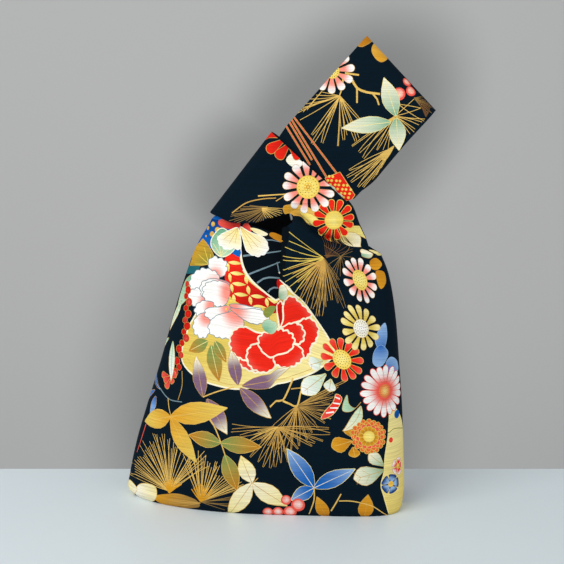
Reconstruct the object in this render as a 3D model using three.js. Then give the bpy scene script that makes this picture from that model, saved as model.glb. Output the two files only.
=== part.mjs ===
// Knot bag: a pouch of printed kimono cloth with a boxed base and two shoulder loops of unlike length,
// the long loop passed through the short one. Millimetres, +Z up, the front faces -Y.
// The front and the back are each cut in one: pouch wall, half of the base, and half of both loops.
// The two meet at the side seams, along the middle of the base and at the end of each loop.
import * as THREE from 'three';

// Driving sizes
const BASE_WIDTH = 224; // across the boxed base
const BASE_DEPTH = 88; // front to back at the base
const POUCH_HEIGHT = 226; // base to the left shoulder
const NECK_DROP = 12; // how far the neckline dips below the shoulder
const LOOP_WIDTH = 78; // cloth width of both loops
const LONG_REACH = 90; // how far the long loop stands out of the short one
const LONG_LEAN = 48; // degrees from level at which the long loop leans
const LOOP_HOLLOW = 15; // clear depth inside the long loop at its middle
const KNOT_HOLLOW = 6; // clear depth inside the long loop where the short one holds it
const CLOTH = 1.1; // outer cloth
const LINING = 1.0; // lining cloth
const SEAM_GAP = 0.3; // between two pieces that lie against each other
const LAYER_GAP = 0.8; // between the two loops where one lies over the other
const PLEAT_LENGTH = 88; // from the neckline down to where the pleat fades
const PLEAT_OVERLAP = 8; // how far the pleat folds over
const TUCK_OVERLAP = 6; // how far the short loop folds over the right shoulder
const BAND_SWELL = 1.1; // how strongly the short loop bows as it turns over the knot
const BASE_INSET = 0.05; // how far the base seam's ends lie in from the side seams, as a share of BASE_WIDTH
const ROW_CROWDING = 1.15; // above 1, the rows of the wall lie closer together towards the base
const PLEAT_FADE = 0.7; // share of the right side over which the pleat's fullness fades
const SEAM_EASE = 0.125; // share of the outline over which dents ease off towards a side seam
const SHOULDER_FADE = 0.5; // share of the knot over which a loop keeps the shoulder's curve
const OPENING_START = 0.25; // share of the long loop over which its edge opens to the full width
const MITRE_LIMIT = 0.75; // least cosine that a wall's thickness is lengthened by at a sharp edge

// Sizes that follow
const STACK = CLOTH + SEAM_GAP + LINING;
const LONG_FACE = KNOT_HOLLOW / 2 + STACK; // outer face of the long loop inside the knot
const SHORT_FACE = LONG_FACE + LAYER_GAP + STACK; // outer face of the short loop over it
const LOOP_FACE = LOOP_HOLLOW / 2 + STACK; // outer face of the long loop at its middle
const FOLD_INSIDE = 0.5; // radius where outer cloth lies on outer cloth
const FOLD_OUTSIDE = STACK + 0.5; // radius of a rolled fold, room for both cloths in it
const BASE = { width: BASE_WIDTH, depth: BASE_DEPTH };
const NECK = { width: 1.44 * LOOP_WIDTH, depth: 2 * SHORT_FACE + STACK };

// How finely the cloth is divided
const LEFT_COLUMNS = 10;
const LEFT_LOOP_COLUMNS = 6; // of the left columns, those that run on into the long loop
const LEFT_LOOP_SHARE = 0.5; // of the neckline left of the pleat, what runs on into the long loop
const FOLD_COLUMNS = 8;
const RIGHT_COLUMNS = 10;
const RIGHT_NECK_COLUMNS = 2; // of the right columns, those that end at the neckline
const RIGHT_NECK_SHARE = 0.1; // of the rim right of the pleat, what ends at the neckline
const BASE_ROWS = 3;
const WALL_ROWS = 11;
const SHOULDER_ROWS = 2;
const BAND_ROWS = 7;
const TURN_ROWS = 4;
const LONG_KNOT_ROWS = 5;
const LONG_FREE_ROWS = 5;
const OUTLINE_STEPS = 96;

// Cross sections of the pouch. height is a share of POUCH_HEIGHT, sides are the left and the right edge as
// shares of the width of what the row follows, deep is how far the front and the back stand out as shares of
// its depth, and corners are the left and right exponents of a rounded box: 2 is an ellipse, more is squarer.
const SECTIONS = [
  { height: 0.00, of: BASE, sides: [-0.545, 0.425], deep: [0.480, 0.480], corners: [1.9, 6.0] },
  { height: 0.02, of: BASE, sides: [-0.564, 0.433], deep: [0.500, 0.500], corners: [1.9, 5.5] },
  { height: 0.08, of: BASE, sides: [-0.554, 0.438], deep: [0.515, 0.515], corners: [2.0, 4.6] },
  { height: 0.20, of: BASE, sides: [-0.526, 0.434], deep: [0.520, 0.520], corners: [2.1, 3.8] },
  { height: 0.33, of: BASE, sides: [-0.486, 0.428], deep: [0.500, 0.500], corners: [2.2, 3.2] },
  { height: 0.50, of: BASE, sides: [-0.431, 0.414], deep: [0.445, 0.440], corners: [2.2, 2.8] },
  { height: 0.65, of: BASE, sides: [-0.387, 0.400], deep: [0.365, 0.360], corners: [2.2, 2.5] },
  { height: 0.80, of: NECK, sides: [-0.677, 0.747], deep: [1.240, 1.240], corners: [2.2, 2.3] },
  { height: 0.90, of: NECK, sides: [-0.600, 0.665], deep: [0.830, 0.830], corners: [2.1, 2.1] },
  { height: 1.00, of: NECK, sides: [-0.485, 0.520], deep: [0.500, 0.500], corners: [2.0, 2.0] },
  { height: 1.06, of: NECK, sides: [-0.430, 0.460], deep: [0.430, 0.430], corners: [2.0, 2.0] },
];

// The upper edge of the pouch wall, as shares of NECK_DROP above POUCH_HEIGHT. along runs from the side
// seam to the pleat on the left, and from the pleat to the side seam on the right.
const RIM_LEFT = [
  { along: 0.00, rise: 0.00 },
  { along: 0.50, rise: -0.33 },
  { along: 0.80, rise: -0.75 },
  { along: 1.00, rise: -1.00 },
];
const RIM_RIGHT = [
  { along: 0.00, rise: -0.30 },
  { along: 0.10, rise: 0.00 },
  { along: 0.30, rise: -0.90 },
  { along: 0.50, rise: -1.60 },
  { along: 0.75, rise: -2.05 },
  { along: 1.00, rise: -2.20 },
];

// The pleat's edge, as a share of the neck width right of the knot, by share of PLEAT_LENGTH down from it,
// and how far the cloth turns over there, in degrees.
const PLEAT = [
  { down: 0.0, edge: 0.010, turn: 165 },
  { down: 0.3, edge: 0.005, turn: 150 },
  { down: 0.6, edge: -0.005, turn: 105 },
  { down: 0.85, edge: -0.020, turn: 45 },
  { down: 1.0, edge: -0.030, turn: 0 },
];

// The tuck where the short loop folds over the right shoulder, from the neckline out to the side. across and
// up are shares of LOOP_WIDTH from the middle of the neck at POUCH_HEIGHT, deep is a share of SHORT_FACE,
// turn is how far the cloth turns over in degrees, flat is how far it runs on in shares of LOOP_WIDTH, and
// leave is the way it runs, in degrees from level.
const TUCK = [
  { along: 0.00, across: 0.115, up: 0.062, deep: 1.45, turn: 20, flat: 0.03, leave: 150 },
  { along: 0.12, across: 0.195, up: 0.050, deep: 1.25, turn: 75, flat: 0.12, leave: 122 },
  { along: 0.25, across: 0.285, up: -0.025, deep: 1.20, turn: 95, flat: 0.14, leave: 105 },
  { along: 0.37, across: 0.370, up: -0.100, deep: 1.20, turn: 100, flat: 0.12, leave: 98 },
  { along: 0.50, across: 0.460, up: -0.150, deep: 1.15, turn: 95, flat: 0.10, leave: 94 },
  { along: 0.75, across: 0.650, up: -0.205, deep: 0.85, turn: 60, flat: 0.08, leave: 97 },
  { along: 1.00, across: 0.850, up: -0.230, deep: 0.30, turn: 0, flat: 0.08, leave: 108 },
];

// The short loop over the knot, from the tuck to its left fold: lower and upper edge as shares of LOOP_WIDTH
// in the knot's frame, outer face as shares of SHORT_FACE, the degrees from level at which the cloth runs
// off its lower and its upper edge, and crown, how far its middle stands proud in shares of STACK.
const BAND = [
  { along: 0.14, across: [0.045, 0.77], up: [0.067, -0.051], deep: [1.5, 0.8], lean: [60, -20], crown: 1.6 },
  { along: 0.30, across: [-0.051, 0.70], up: [0.045, 0.122], deep: [1.6, 1.0], lean: [80, -5], crown: 1.4 },
  { along: 0.45, across: [-0.167, 0.564], up: [0.006, 0.263], deep: [1.52, 1], lean: [88, 20], crown: 1.1 },
  { along: 0.60, across: [-0.276, 0.43], up: [-0.022, 0.385], deep: [1.42, 1.02], lean: [86, 35], crown: 0.8 },
  { along: 0.80, across: [-0.474, 0.192], up: [-0.026, 0.599], deep: [1.22, 1.02], lean: [70, 45], crown: 0.5 },
  { along: 1.00, across: [-0.636, -0.017], up: [0.035, 0.79], deep: [1, 1], lean: [51, 51], crown: 0.2 },
];
const BAND_FOLD = { across: [-0.718, -0.103], up: [0.064, 0.859] };

// The long loop inside the knot, from the left shoulder to where it comes out: its left and right edge as
// shares of LOOP_WIDTH in the knot's frame, and its outer face as a share of LONG_FACE.
const LONG_KNOT = [
  { along: 0.25, across: [-0.605, -0.230], up: [0.077, 0.030], deep: 1.00 },
  { along: 0.50, across: [-0.500, 0.120], up: [0.218, 0.095], deep: 1.00 },
  { along: 0.75, across: [-0.275, 0.430], up: [0.455, 0.135], deep: 1.00 },
  { along: 1.00, across: [0.045, 0.715], up: [0.915, 0.215], deep: 1.02 },
];

// The long loop beyond the knot: outer face as a share of LOOP_FACE by share of LONG_REACH.
const LONG_FREE = [
  { along: 0.0, deep: 0.57 },
  { along: 0.3, deep: 0.85 },
  { along: 0.6, deep: 1.00 },
  { along: 1.0, deep: 1.00 },
];

// Soft dents and swells of the pouch wall. across is from the left seam, 0, to the right seam, 1; up is a
// share of POUCH_HEIGHT; wide and tall are the spread in the same shares; out is in shares of the base depth.
const FRONT_DENTS = [
  { across: 0.20, up: 0.80, wide: 0.050, tall: 0.16, out: -0.036 },
  { across: 0.31, up: 0.74, wide: 0.045, tall: 0.16, out: 0.026 },
  { across: 0.66, up: 0.72, wide: 0.040, tall: 0.16, out: -0.028 },
  { across: 0.78, up: 0.66, wide: 0.050, tall: 0.20, out: 0.026 },
  { across: 0.12, up: 0.30, wide: 0.070, tall: 0.16, out: -0.030 },
  { across: 0.50, up: 0.30, wide: 0.160, tall: 0.18, out: 0.022 },
  { across: 0.90, up: 0.38, wide: 0.050, tall: 0.20, out: -0.026 },
];
const BACK_DENTS = [
  { across: 0.24, up: 0.78, wide: 0.050, tall: 0.16, out: -0.034 },
  { across: 0.40, up: 0.80, wide: 0.045, tall: 0.18, out: 0.030 },
  { across: 0.54, up: 0.76, wide: 0.040, tall: 0.18, out: -0.040 },
  { across: 0.70, up: 0.74, wide: 0.050, tall: 0.16, out: 0.028 },
  { across: 0.50, up: 0.28, wide: 0.180, tall: 0.18, out: 0.026 },
  { across: 0.14, up: 0.34, wide: 0.060, tall: 0.18, out: -0.028 },
];

// What differs between the two halves. dip is how far the neckline dips left of the pleat, pleat and tuck are
// how far those folds turn, all as shares of the tables, and opening is how far, in millimetres, the right
// edge of the long loop stands out further than on the other half.
const FRONT = { side: -1, dip: 1, pleat: 1, tuck: 1, opening: 0, dents: FRONT_DENTS, part: 0 };
const BACK = { side: 1, dip: -0.3, pleat: 0, tuck: 0.5, opening: 4, dents: BACK_DENTS, part: 1 };

const lerp = (a, b, t) => a + (b - a) * t;
const radians = (degrees) => degrees * Math.PI / 180;
const smooth = (t) => {
  const c = Math.min(1, Math.max(0, t));
  return c * c * (3 - 2 * c);
};

// A smooth curve through a table's rows that never swings past them. part picks one of a column's two values.
function through(rows, key, column, at, part) {
  const last = rows.length - 1;
  const value = (k) => (part === undefined ? rows[k][column] : rows[k][column][part]);
  if (at <= rows[0][key]) return value(0);
  if (at >= rows[last][key]) return value(last);
  let i = 0;
  while (at > rows[i + 1][key]) i += 1;
  const slope = (k) => (value(k + 1) - value(k)) / (rows[k + 1][key] - rows[k][key]);
  const tangent = (k) => {
    if (k === 0) return slope(0);
    if (k === last) return slope(last - 1);
    const before = slope(k - 1);
    const after = slope(k);
    return before * after <= 0 ? 0 : 2 * before * after / (before + after);
  };
  const span = rows[i + 1][key] - rows[i][key];
  const t = (at - rows[i][key]) / span;
  return value(i) * (1 + 2 * t) * (1 - t) ** 2 + value(i + 1) * t * t * (3 - 2 * t)
    + span * (tangent(i) * t * (1 - t) ** 2 + tangent(i + 1) * t * t * (t - 1));
}

// A point on the curve from one point to another that leaves and arrives along given pulls.
const curve = (from, leave, to, arrive, t) => from.clone().multiplyScalar((1 + 2 * t) * (1 - t) ** 2)
  .addScaledVector(leave, t * (1 - t) ** 2)
  .addScaledVector(to, t * t * (3 - 2 * t))
  .addScaledVector(arrive, t * t * (t - 1));

// One half of the pouch's outline at a height, from the left seam round to the right seam, with its length.
function outline(height, half) {
  const sized = SECTIONS.map((row) => ({
    height: row.height,
    sides: row.sides.map((side) => side * row.of.width),
    deep: row.deep.map((deep) => deep * row.of.depth),
    corners: row.corners,
  }));
  const section = (column, part) => through(sized, 'height', column, height / POUCH_HEIGHT, part);
  const [left, right] = [section('sides', 0), section('sides', 1)];
  const deep = section('deep', half.part);
  const corners = [section('corners', 0), section('corners', 1)];
  const middle = (left + right) / 2;
  const points = [];
  let length = 0;
  for (let k = 0; k <= OUTLINE_STEPS; k += 1) {
    const angle = Math.PI * (1 - k / OUTLINE_STEPS);
    const c = Math.cos(angle);
    const corner = corners[c < 0 ? 0 : 1];
    const x = middle + (right - left) / 2 * Math.sign(c) * Math.abs(c) ** (2 / corner);
    const y = -deep * Math.sin(angle) ** (2 / corner);
    if (k > 0) length += Math.hypot(x - points[k - 1].x, y - points[k - 1].y);
    points.push({ x, y, length });
  }
  return { points, length };
}

// The point and outward direction at a length along an outline.
function along(line, length) {
  const { points } = line;
  let k = 1;
  while (k < points.length - 1 && points[k].length < length) k += 1;
  const a = points[k - 1];
  const b = points[k];
  const t = (length - a.length) / (b.length - a.length);
  const step = Math.hypot(b.x - a.x, b.y - a.y);
  return { x: lerp(a.x, b.x, t), y: lerp(a.y, b.y, t), nx: (b.y - a.y) / step, ny: (a.x - b.x) / step };
}

// Length along an outline at which it reaches a place across the front.
function reach(line, x) {
  const { points } = line;
  let k = 1;
  while (k < points.length - 1 && points[k].x < x) k += 1;
  const a = points[k - 1];
  const b = points[k];
  return lerp(a.length, b.length, (x - a.x) / (b.x - a.x));
}

// A fold laid over: the cloth runs on, turns up and back round a tight bend, then forward again round a
// rolled edge. Returns the steps as distance on and out, with the rolled edge at distance 0.
function foldPath(turn, overlap, flat) {
  const angle = radians(turn);
  const straight = overlap * Math.max(0, -Math.cos(angle));
  const steps = [];
  const arcSteps = (FOLD_COLUMNS - 1) / 2;
  for (let k = 0; k <= FOLD_COLUMNS; k += 1) {
    const first = Math.min(1, k / Math.floor(arcSteps)) * angle;
    let on = FOLD_INSIDE * Math.sin(first);
    let out = FOLD_INSIDE * (1 - Math.cos(first));
    if (k > Math.floor(arcSteps)) {
      const rest = (k - Math.floor(arcSteps) - 1) / (FOLD_COLUMNS - Math.floor(arcSteps) - 1);
      const second = angle * (1 - rest);
      on += straight * Math.cos(angle) + FOLD_OUTSIDE * (Math.sin(angle) - Math.sin(second));
      out += straight * Math.sin(angle) + FOLD_OUTSIDE * (Math.cos(second) - Math.cos(angle));
    }
    steps.push({ on: on + (k / FOLD_COLUMNS - 0.5) * flat * (1 - turn / 180), out });
  }
  const edge = FOLD_INSIDE * Math.sin(angle) + straight * Math.cos(angle)
    + FOLD_OUTSIDE * (Math.sin(angle) - 1);
  const shift = turn >= 90 ? edge : edge * turn / 90;
  return steps.map((step) => ({ on: step.on - shift, out: step.out }));
}

// The columns of the pouch wall, from the left seam to the right seam.
function wallColumns() {
  const columns = [];
  for (let k = 0; k < LEFT_COLUMNS; k += 1) {
    const t = k / LEFT_LOOP_COLUMNS;
    const rest = (k - LEFT_LOOP_COLUMNS) / (LEFT_COLUMNS - LEFT_LOOP_COLUMNS);
    columns.push({ part: 'left', share: rest <= 0 ? t * LEFT_LOOP_SHARE : lerp(LEFT_LOOP_SHARE, 1, rest) });
  }
  for (let k = 0; k <= FOLD_COLUMNS; k += 1) columns.push({ part: 'fold', step: k, share: k / FOLD_COLUMNS });
  for (let k = 1; k <= RIGHT_COLUMNS; k += 1) {
    const t = k / RIGHT_NECK_COLUMNS;
    const rest = (k - RIGHT_NECK_COLUMNS) / (RIGHT_COLUMNS - RIGHT_NECK_COLUMNS);
    const share = rest <= 0 ? t * RIGHT_NECK_SHARE : lerp(RIGHT_NECK_SHARE, 1, rest);
    columns.push({ part: 'right', share });
  }
  return columns;
}

// Height of the pouch wall's upper edge at a column.
function rimHeight(column, half) {
  let rise;
  if (column.part === 'left') rise = half.dip * through(RIM_LEFT, 'along', 'rise', column.share);
  if (column.part === 'right') rise = through(RIM_RIGHT, 'along', 'rise', column.share);
  if (column.part === 'fold') rise = lerp(-half.dip, RIM_RIGHT[0].rise, half.pleat * smooth(column.share));
  return POUCH_HEIGHT + rise * NECK_DROP;
}

// A point of the pouch wall on its outer face, at a column and a height.
function wallPoint(column, height, half) {
  const line = outline(height, half);
  const down = (POUCH_HEIGHT - height) / PLEAT_LENGTH;
  const turn = half.pleat * through(PLEAT, 'down', 'turn', down);
  const fold = foldPath(turn, PLEAT_OVERLAP, PLEAT_OVERLAP);
  const edge = reach(line, through(PLEAT, 'down', 'edge', down) * NECK.width);
  const last = fold[FOLD_COLUMNS];
  let at;
  let out = 0;
  if (column.part === 'left') at = column.share * (edge + fold[0].on);
  if (column.part === 'fold') {
    at = edge + fold[column.step].on;
    out = fold[column.step].out;
  }
  if (column.part === 'right') {
    at = lerp(edge + last.on, line.length, column.share);
    out = last.out * (1 - smooth(column.share / PLEAT_FADE));
  }
  const spot = along(line, at);
  const across = at / line.length;
  const seam = Math.min(1, across / SEAM_EASE) * Math.min(1, (1 - across) / SEAM_EASE);
  for (const dent of half.dents) {
    const a = (across - dent.across) / dent.wide;
    const b = (height / POUCH_HEIGHT - dent.up) / dent.tall;
    out += dent.out * BASE_DEPTH * seam * Math.exp(-a * a - b * b);
  }
  return new THREE.Vector3(spot.x + spot.nx * out, Math.min(spot.y + spot.ny * out, -SEAM_GAP / 2), height);
}

// Half of the base and the pouch wall, row by row from the middle of the base up to the rim.
function pouchRows(half) {
  const columns = wallColumns();
  const foot = columns.map((column) => wallPoint(column, 0, half));
  const inset = BASE_INSET * BASE_WIDTH;
  const rows = [];
  for (let k = 0; k < BASE_ROWS; k += 1) {
    const forward = k / BASE_ROWS;
    rows.push(foot.map((point, c) => {
      const even = lerp(foot[0].x + inset, foot[foot.length - 1].x - inset, c / (foot.length - 1));
      return new THREE.Vector3(lerp(even, point.x, forward), Math.min(point.y * forward, -SEAM_GAP / 2), 0);
    }));
  }
  for (let k = 0; k <= WALL_ROWS; k += 1) {
    const up = (k / WALL_ROWS) ** ROW_CROWDING;
    rows.push(columns.map((column) => wallPoint(column, rimHeight(column, half) * up, half)));
  }
  return rows;
}

// A point in the knot's frame: across and up from the middle of the neck, and deep towards the front.
const knotPoint = (across, up, deep) => new THREE.Vector3(
  across * LOOP_WIDTH,
  -deep,
  POUCH_HEIGHT + up * LOOP_WIDTH,
);

// The long loop, from the left shoulder through the knot and on to the seam at its end.
function longLoopRows(shoulder, half) {
  const rows = [shoulder];
  const count = shoulder.length - 1;
  const knot = (column, at, edge) => through(LONG_KNOT, 'along', column, at, edge);
  const edgeAt = (at, edge) => {
    const station = knotPoint(knot('across', at, edge), knot('up', at, edge), knot('deep', at) * LONG_FACE);
    return shoulder[edge * count].clone().lerp(station, Math.min(1, at / LONG_KNOT[0].along));
  };
  const across = (left, right) => shoulder.map((point, c) => left.clone().lerp(right, c / count));
  const bend = across(shoulder[0], shoulder[count]).map((point, c) => shoulder[c].clone().sub(point));
  for (let k = 1; k <= LONG_KNOT_ROWS; k += 1) {
    const at = k / LONG_KNOT_ROWS;
    const row = across(edgeAt(at, 0), edgeAt(at, 1));
    rows.push(row.map((point, c) => point.addScaledVector(bend[c], 1 - smooth(at / SHOULDER_FADE))));
  }
  const lean = radians(LONG_LEAN);
  const axis = new THREE.Vector3(Math.cos(lean), 0, Math.sin(lean));
  const widthways = new THREE.Vector3(Math.sin(lean), 0, -Math.cos(lean));
  const start = rows[rows.length - 1];
  const straight = 1 - LOOP_FACE / LONG_REACH;
  for (let k = 1; k <= LONG_FREE_ROWS; k += 1) {
    const at = straight * k / LONG_FREE_ROWS;
    rows.push(start.map((point, c) => {
      const moved = point.clone().addScaledVector(axis, at * LONG_REACH);
      moved.addScaledVector(widthways, half.opening * (c / count) * (1 - at) * smooth(at / OPENING_START));
      moved.y = -through(LONG_FREE, 'along', 'deep', at) * LOOP_FACE;
      return moved;
    }));
  }
  const turnStart = rows[rows.length - 1];
  for (let k = 1; k <= TURN_ROWS; k += 1) {
    const angle = Math.PI / 2 * k / TURN_ROWS;
    rows.push(turnStart.map((point) => {
      const moved = point.clone().addScaledVector(axis, LOOP_FACE * Math.sin(angle));
      moved.y = k === TURN_ROWS ? -SEAM_GAP / 2 : point.y * Math.cos(angle);
      return moved;
    }));
  }
  return rows;
}

// The short loop, from the right shoulder over the tuck and the knot to the seam at its left fold.
function shortLoopRows(shoulder, half) {
  const rows = [shoulder];
  const count = shoulder.length - 1;
  const tuck = (column, at) => through(TUCK, 'along', column, at);
  const leave = shoulder.map((point, c) => {
    const angle = radians(tuck('leave', c / count));
    return new THREE.Vector3(Math.cos(angle), 0, Math.sin(angle));
  });
  const tuckRow = (step) => shoulder.map((point, c) => {
    const t = c / count;
    const fold = foldPath(half.tuck * tuck('turn', t), TUCK_OVERLAP, tuck('flat', t) * LOOP_WIDTH)[step];
    return knotPoint(tuck('across', t), tuck('up', t), tuck('deep', t) * SHORT_FACE + fold.out)
      .addScaledVector(leave[c], fold.on);
  });
  const firstTuck = tuckRow(0);
  for (let k = 1; k < SHOULDER_ROWS; k += 1) {
    rows.push(shoulder.map((point, c) => {
      const moved = point.clone().lerp(firstTuck[c], k / SHOULDER_ROWS);
      moved.y = lerp(point.y, firstTuck[c].y, smooth(k / SHOULDER_ROWS));
      return moved;
    }));
  }
  for (let k = 0; k <= FOLD_COLUMNS; k += 1) rows.push(tuckRow(k));
  const band = (column, at, edge) => through(BAND, 'along', column, at, edge);
  for (let k = 1; k <= BAND_ROWS; k += 1) {
    const at = k / BAND_ROWS;
    const ends = [0, 1].map((edge) => knotPoint(
      band('across', at, edge),
      band('up', at, edge),
      band('deep', at, edge) * SHORT_FACE,
    ));
    const pull = BAND_SWELL * ends[0].distanceTo(ends[1]);
    const pulls = [0, 1].map((edge) => {
      const angle = radians(band('lean', at, edge));
      return new THREE.Vector3(pull * Math.cos(angle), 0, pull * Math.sin(angle));
    });
    const crown = band('crown', at) * STACK;
    rows.push(shoulder.map((point, c) => {
      const t = c / count;
      const place = curve(ends[0], pulls[0], ends[1], pulls[1], t);
      place.y -= crown * 4 * t * (1 - t);
      return place;
    }));
  }
  const turnStart = rows[rows.length - 1];
  const seam = [0, 1].map((edge) => knotPoint(BAND_FOLD.across[edge], BAND_FOLD.up[edge], 0));
  for (let k = 1; k <= TURN_ROWS; k += 1) {
    const angle = Math.PI / 2 * k / TURN_ROWS;
    rows.push(turnStart.map((point, c) => {
      const moved = point.clone().lerp(seam[0].clone().lerp(seam[1], c / count), Math.sin(angle));
      moved.y = k === TURN_ROWS ? -SEAM_GAP / 2 : point.y * Math.cos(angle);
      return moved;
    }));
  }
  return rows;
}

// The outer face of one half of the bag, as a welded net of points and four-cornered faces.
function clothNet(half) {
  const pouch = pouchRows(half);
  const rim = pouch[pouch.length - 1];
  const shortStart = LEFT_COLUMNS + FOLD_COLUMNS + RIGHT_NECK_COLUMNS;
  const longLoop = longLoopRows(rim.slice(0, LEFT_LOOP_COLUMNS + 1), half);
  const shortLoop = shortLoopRows(rim.slice(shortStart), half);
  const points = [];
  const numbers = new Map();
  const number = (point) => {
    const key = point.toArray().map((value) => value.toFixed(3)).join(' ');
    if (!numbers.has(key)) {
      numbers.set(key, points.length);
      points.push(point.clone());
    }
    return numbers.get(key);
  };
  const faces = [];
  for (const grid of [pouch, longLoop, shortLoop]) {
    for (let r = 0; r + 1 < grid.length; r += 1) {
      for (let c = 0; c + 1 < grid[r].length; c += 1) {
        faces.push([grid[r][c], grid[r][c + 1], grid[r + 1][c + 1], grid[r + 1][c]].map(number));
      }
    }
  }
  return { points, faces };
}

// Outward direction at each point of a net, lengthened at sharp edges so that a wall keeps its thickness.
// A point on a seam faces along the seam's plane, so that the two halves meet flat.
function directions(net) {
  const sums = net.points.map(() => new THREE.Vector3());
  const normals = net.faces.map(([a, b, c, d]) => {
    const first = net.points[c].clone().sub(net.points[a]);
    const second = net.points[d].clone().sub(net.points[b]);
    return first.cross(second).normalize();
  });
  net.faces.forEach((face, f) => face.forEach((p) => sums[p].add(normals[f])));
  const seam = (point) => Math.abs(point.y + SEAM_GAP / 2) < 1e-6;
  sums.forEach((sum, p) => {
    if (seam(net.points[p])) sum.y = 0;
    sum.normalize();
  });
  const lean = net.points.map(() => ({ total: 0, count: 0 }));
  net.faces.forEach((face, f) => face.forEach((p) => {
    lean[p].total += Math.max(0, normals[f].dot(sums[p]));
    lean[p].count += 1;
  }));
  return sums.map((sum, p) => sum.multiplyScalar(1 / Math.max(MITRE_LIMIT, lean[p].total / lean[p].count)));
}

// A wall between two depths below the outer face of a net, closed round its free edges.
function wall(net, facing, outer, inner, side) {
  const count = net.points.length;
  const positions = [];
  for (const depth of [outer, inner]) {
    net.points.forEach((point, p) => {
      const moved = point.clone().addScaledVector(facing[p], -depth);
      positions.push(moved.x, side < 0 ? moved.y : -moved.y, moved.z);
    });
  }
  const triangles = [];
  const open = new Map();
  for (const face of net.faces) {
    const [a, b, c, d] = face;
    triangles.push([a, b, c], [a, c, d]);
    triangles.push([count + c, count + b, count + a], [count + d, count + c, count + a]);
    face.forEach((p, k) => {
      const q = face[(k + 1) % 4];
      if (open.has(`${q} ${p}`)) open.delete(`${q} ${p}`);
      else open.set(`${p} ${q}`, [p, q]);
    });
  }
  for (const [p, q] of open.values()) triangles.push([q, p, count + p], [q, count + p, count + q]);
  const geometry = new THREE.BufferGeometry();
  geometry.setAttribute('position', new THREE.Float32BufferAttribute(positions, 3));
  geometry.setIndex(triangles.flatMap((triangle) => (side < 0 ? triangle : triangle.reverse())));
  geometry.computeVertexNormals();
  return geometry;
}

const printedCloth = new THREE.MeshStandardMaterial({ color: 0x0c1a26, roughness: 0.75, metalness: 0 });
const liningCloth = new THREE.MeshStandardMaterial({ color: 0x1b1a1d, roughness: 0.9, metalness: 0 });

function piece(name, geometry, material) {
  const mesh = new THREE.Mesh(geometry, material);
  mesh.name = name;
  return mesh;
}

// The four pieces, set over the middle of their common box and standing on its underside.
function knotBag() {
  const bag = new THREE.Group();
  for (const [name, half] of [['front', FRONT], ['back', BACK]]) {
    const net = clothNet(half);
    const facing = directions(net);
    bag.add(piece(`${name}_panel`, wall(net, facing, 0, CLOTH, half.side), printedCloth));
    bag.add(piece(`${name}_lining`, wall(net, facing, CLOTH + SEAM_GAP, STACK, half.side), liningCloth));
  }
  const box = new THREE.Box3().setFromObject(bag);
  const middle = box.getCenter(new THREE.Vector3());
  bag.position.set(-middle.x, -middle.y, -box.min.z);
  bag.updateMatrixWorld(true);
  return bag;
}

export default knotBag();
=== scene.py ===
import math
import random

import bpy
import numpy as np
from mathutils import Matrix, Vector
from mathutils.bvhtree import BVHTree
from mathutils.geometry import delaunay_2d_cdt


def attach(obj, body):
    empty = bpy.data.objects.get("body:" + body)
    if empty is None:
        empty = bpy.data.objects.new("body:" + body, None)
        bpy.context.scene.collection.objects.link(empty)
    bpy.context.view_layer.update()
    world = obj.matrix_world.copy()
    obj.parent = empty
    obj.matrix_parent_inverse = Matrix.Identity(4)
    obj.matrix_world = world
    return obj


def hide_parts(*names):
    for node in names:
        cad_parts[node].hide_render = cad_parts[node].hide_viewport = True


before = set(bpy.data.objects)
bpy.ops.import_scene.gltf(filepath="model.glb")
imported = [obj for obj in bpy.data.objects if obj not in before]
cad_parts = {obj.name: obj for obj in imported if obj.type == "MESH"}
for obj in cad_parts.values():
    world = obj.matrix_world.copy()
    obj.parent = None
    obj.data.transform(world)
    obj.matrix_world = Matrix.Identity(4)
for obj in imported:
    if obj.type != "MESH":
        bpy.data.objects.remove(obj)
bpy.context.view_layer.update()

# The camera stands before the bag, a little to its right and above it, with a 70 mm lens. The print is
# placed through it further down, so its place is kept here in millimetres.
turned, raised, away = math.radians(4.0), math.radians(11.0), 860.0
aim = np.array([4.3, 0.0, 176.0])
backward = np.array([
    math.sin(turned) * math.cos(raised), -math.cos(turned) * math.cos(raised), math.sin(raised),
])
camera_data = bpy.data.cameras.new("camera")
camera_data.lens = 70
camera = bpy.data.objects.new("camera", camera_data)
bpy.context.collection.objects.link(camera)
camera.location = Vector((aim + away * backward) / 1000)
camera.rotation_euler = Vector(backward).to_track_quat("Z", "Y").to_euler()
bpy.context.scene.camera = camera

# The two halves of the bag, front and back. Each is one cut of cloth: pouch wall, half of the boxed base,
# and half of both shoulder loops. They are sewn at the sides, under the base and at the end of each loop.
# All sizes here are the ones that the solids are built from, in millimetres, with the cloth divided finer.
base_width, base_depth, pouch_height, neck_drop, loop_width = 224, 88, 226, 12, 78
long_reach, long_lean, loop_hollow, knot_hollow = 90, math.radians(48), 15, 6
cloth, lining, seam_gap, layer_gap = 1.1, 1.0, 0.3, 0.8
seam_half = 0.03
pleat_length, pleat_overlap, tuck_overlap, band_swell = 88, 8, 6, 1.1
stack = cloth + seam_gap + lining
long_face = knot_hollow / 2 + stack
short_face = long_face + layer_gap + stack
loop_face = loop_hollow / 2 + stack
neck_width, neck_depth = 1.44 * loop_width, 2 * short_face + stack

left_columns, left_loop_columns, fold_columns, right_columns, right_neck_columns = 40, 24, 16, 40, 4
base_rows, wall_rows, shoulder_rows, band_rows = 12, 84, 5, 34
turn_rows, long_knot_rows, long_free_rows = 8, 16, 34

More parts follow.
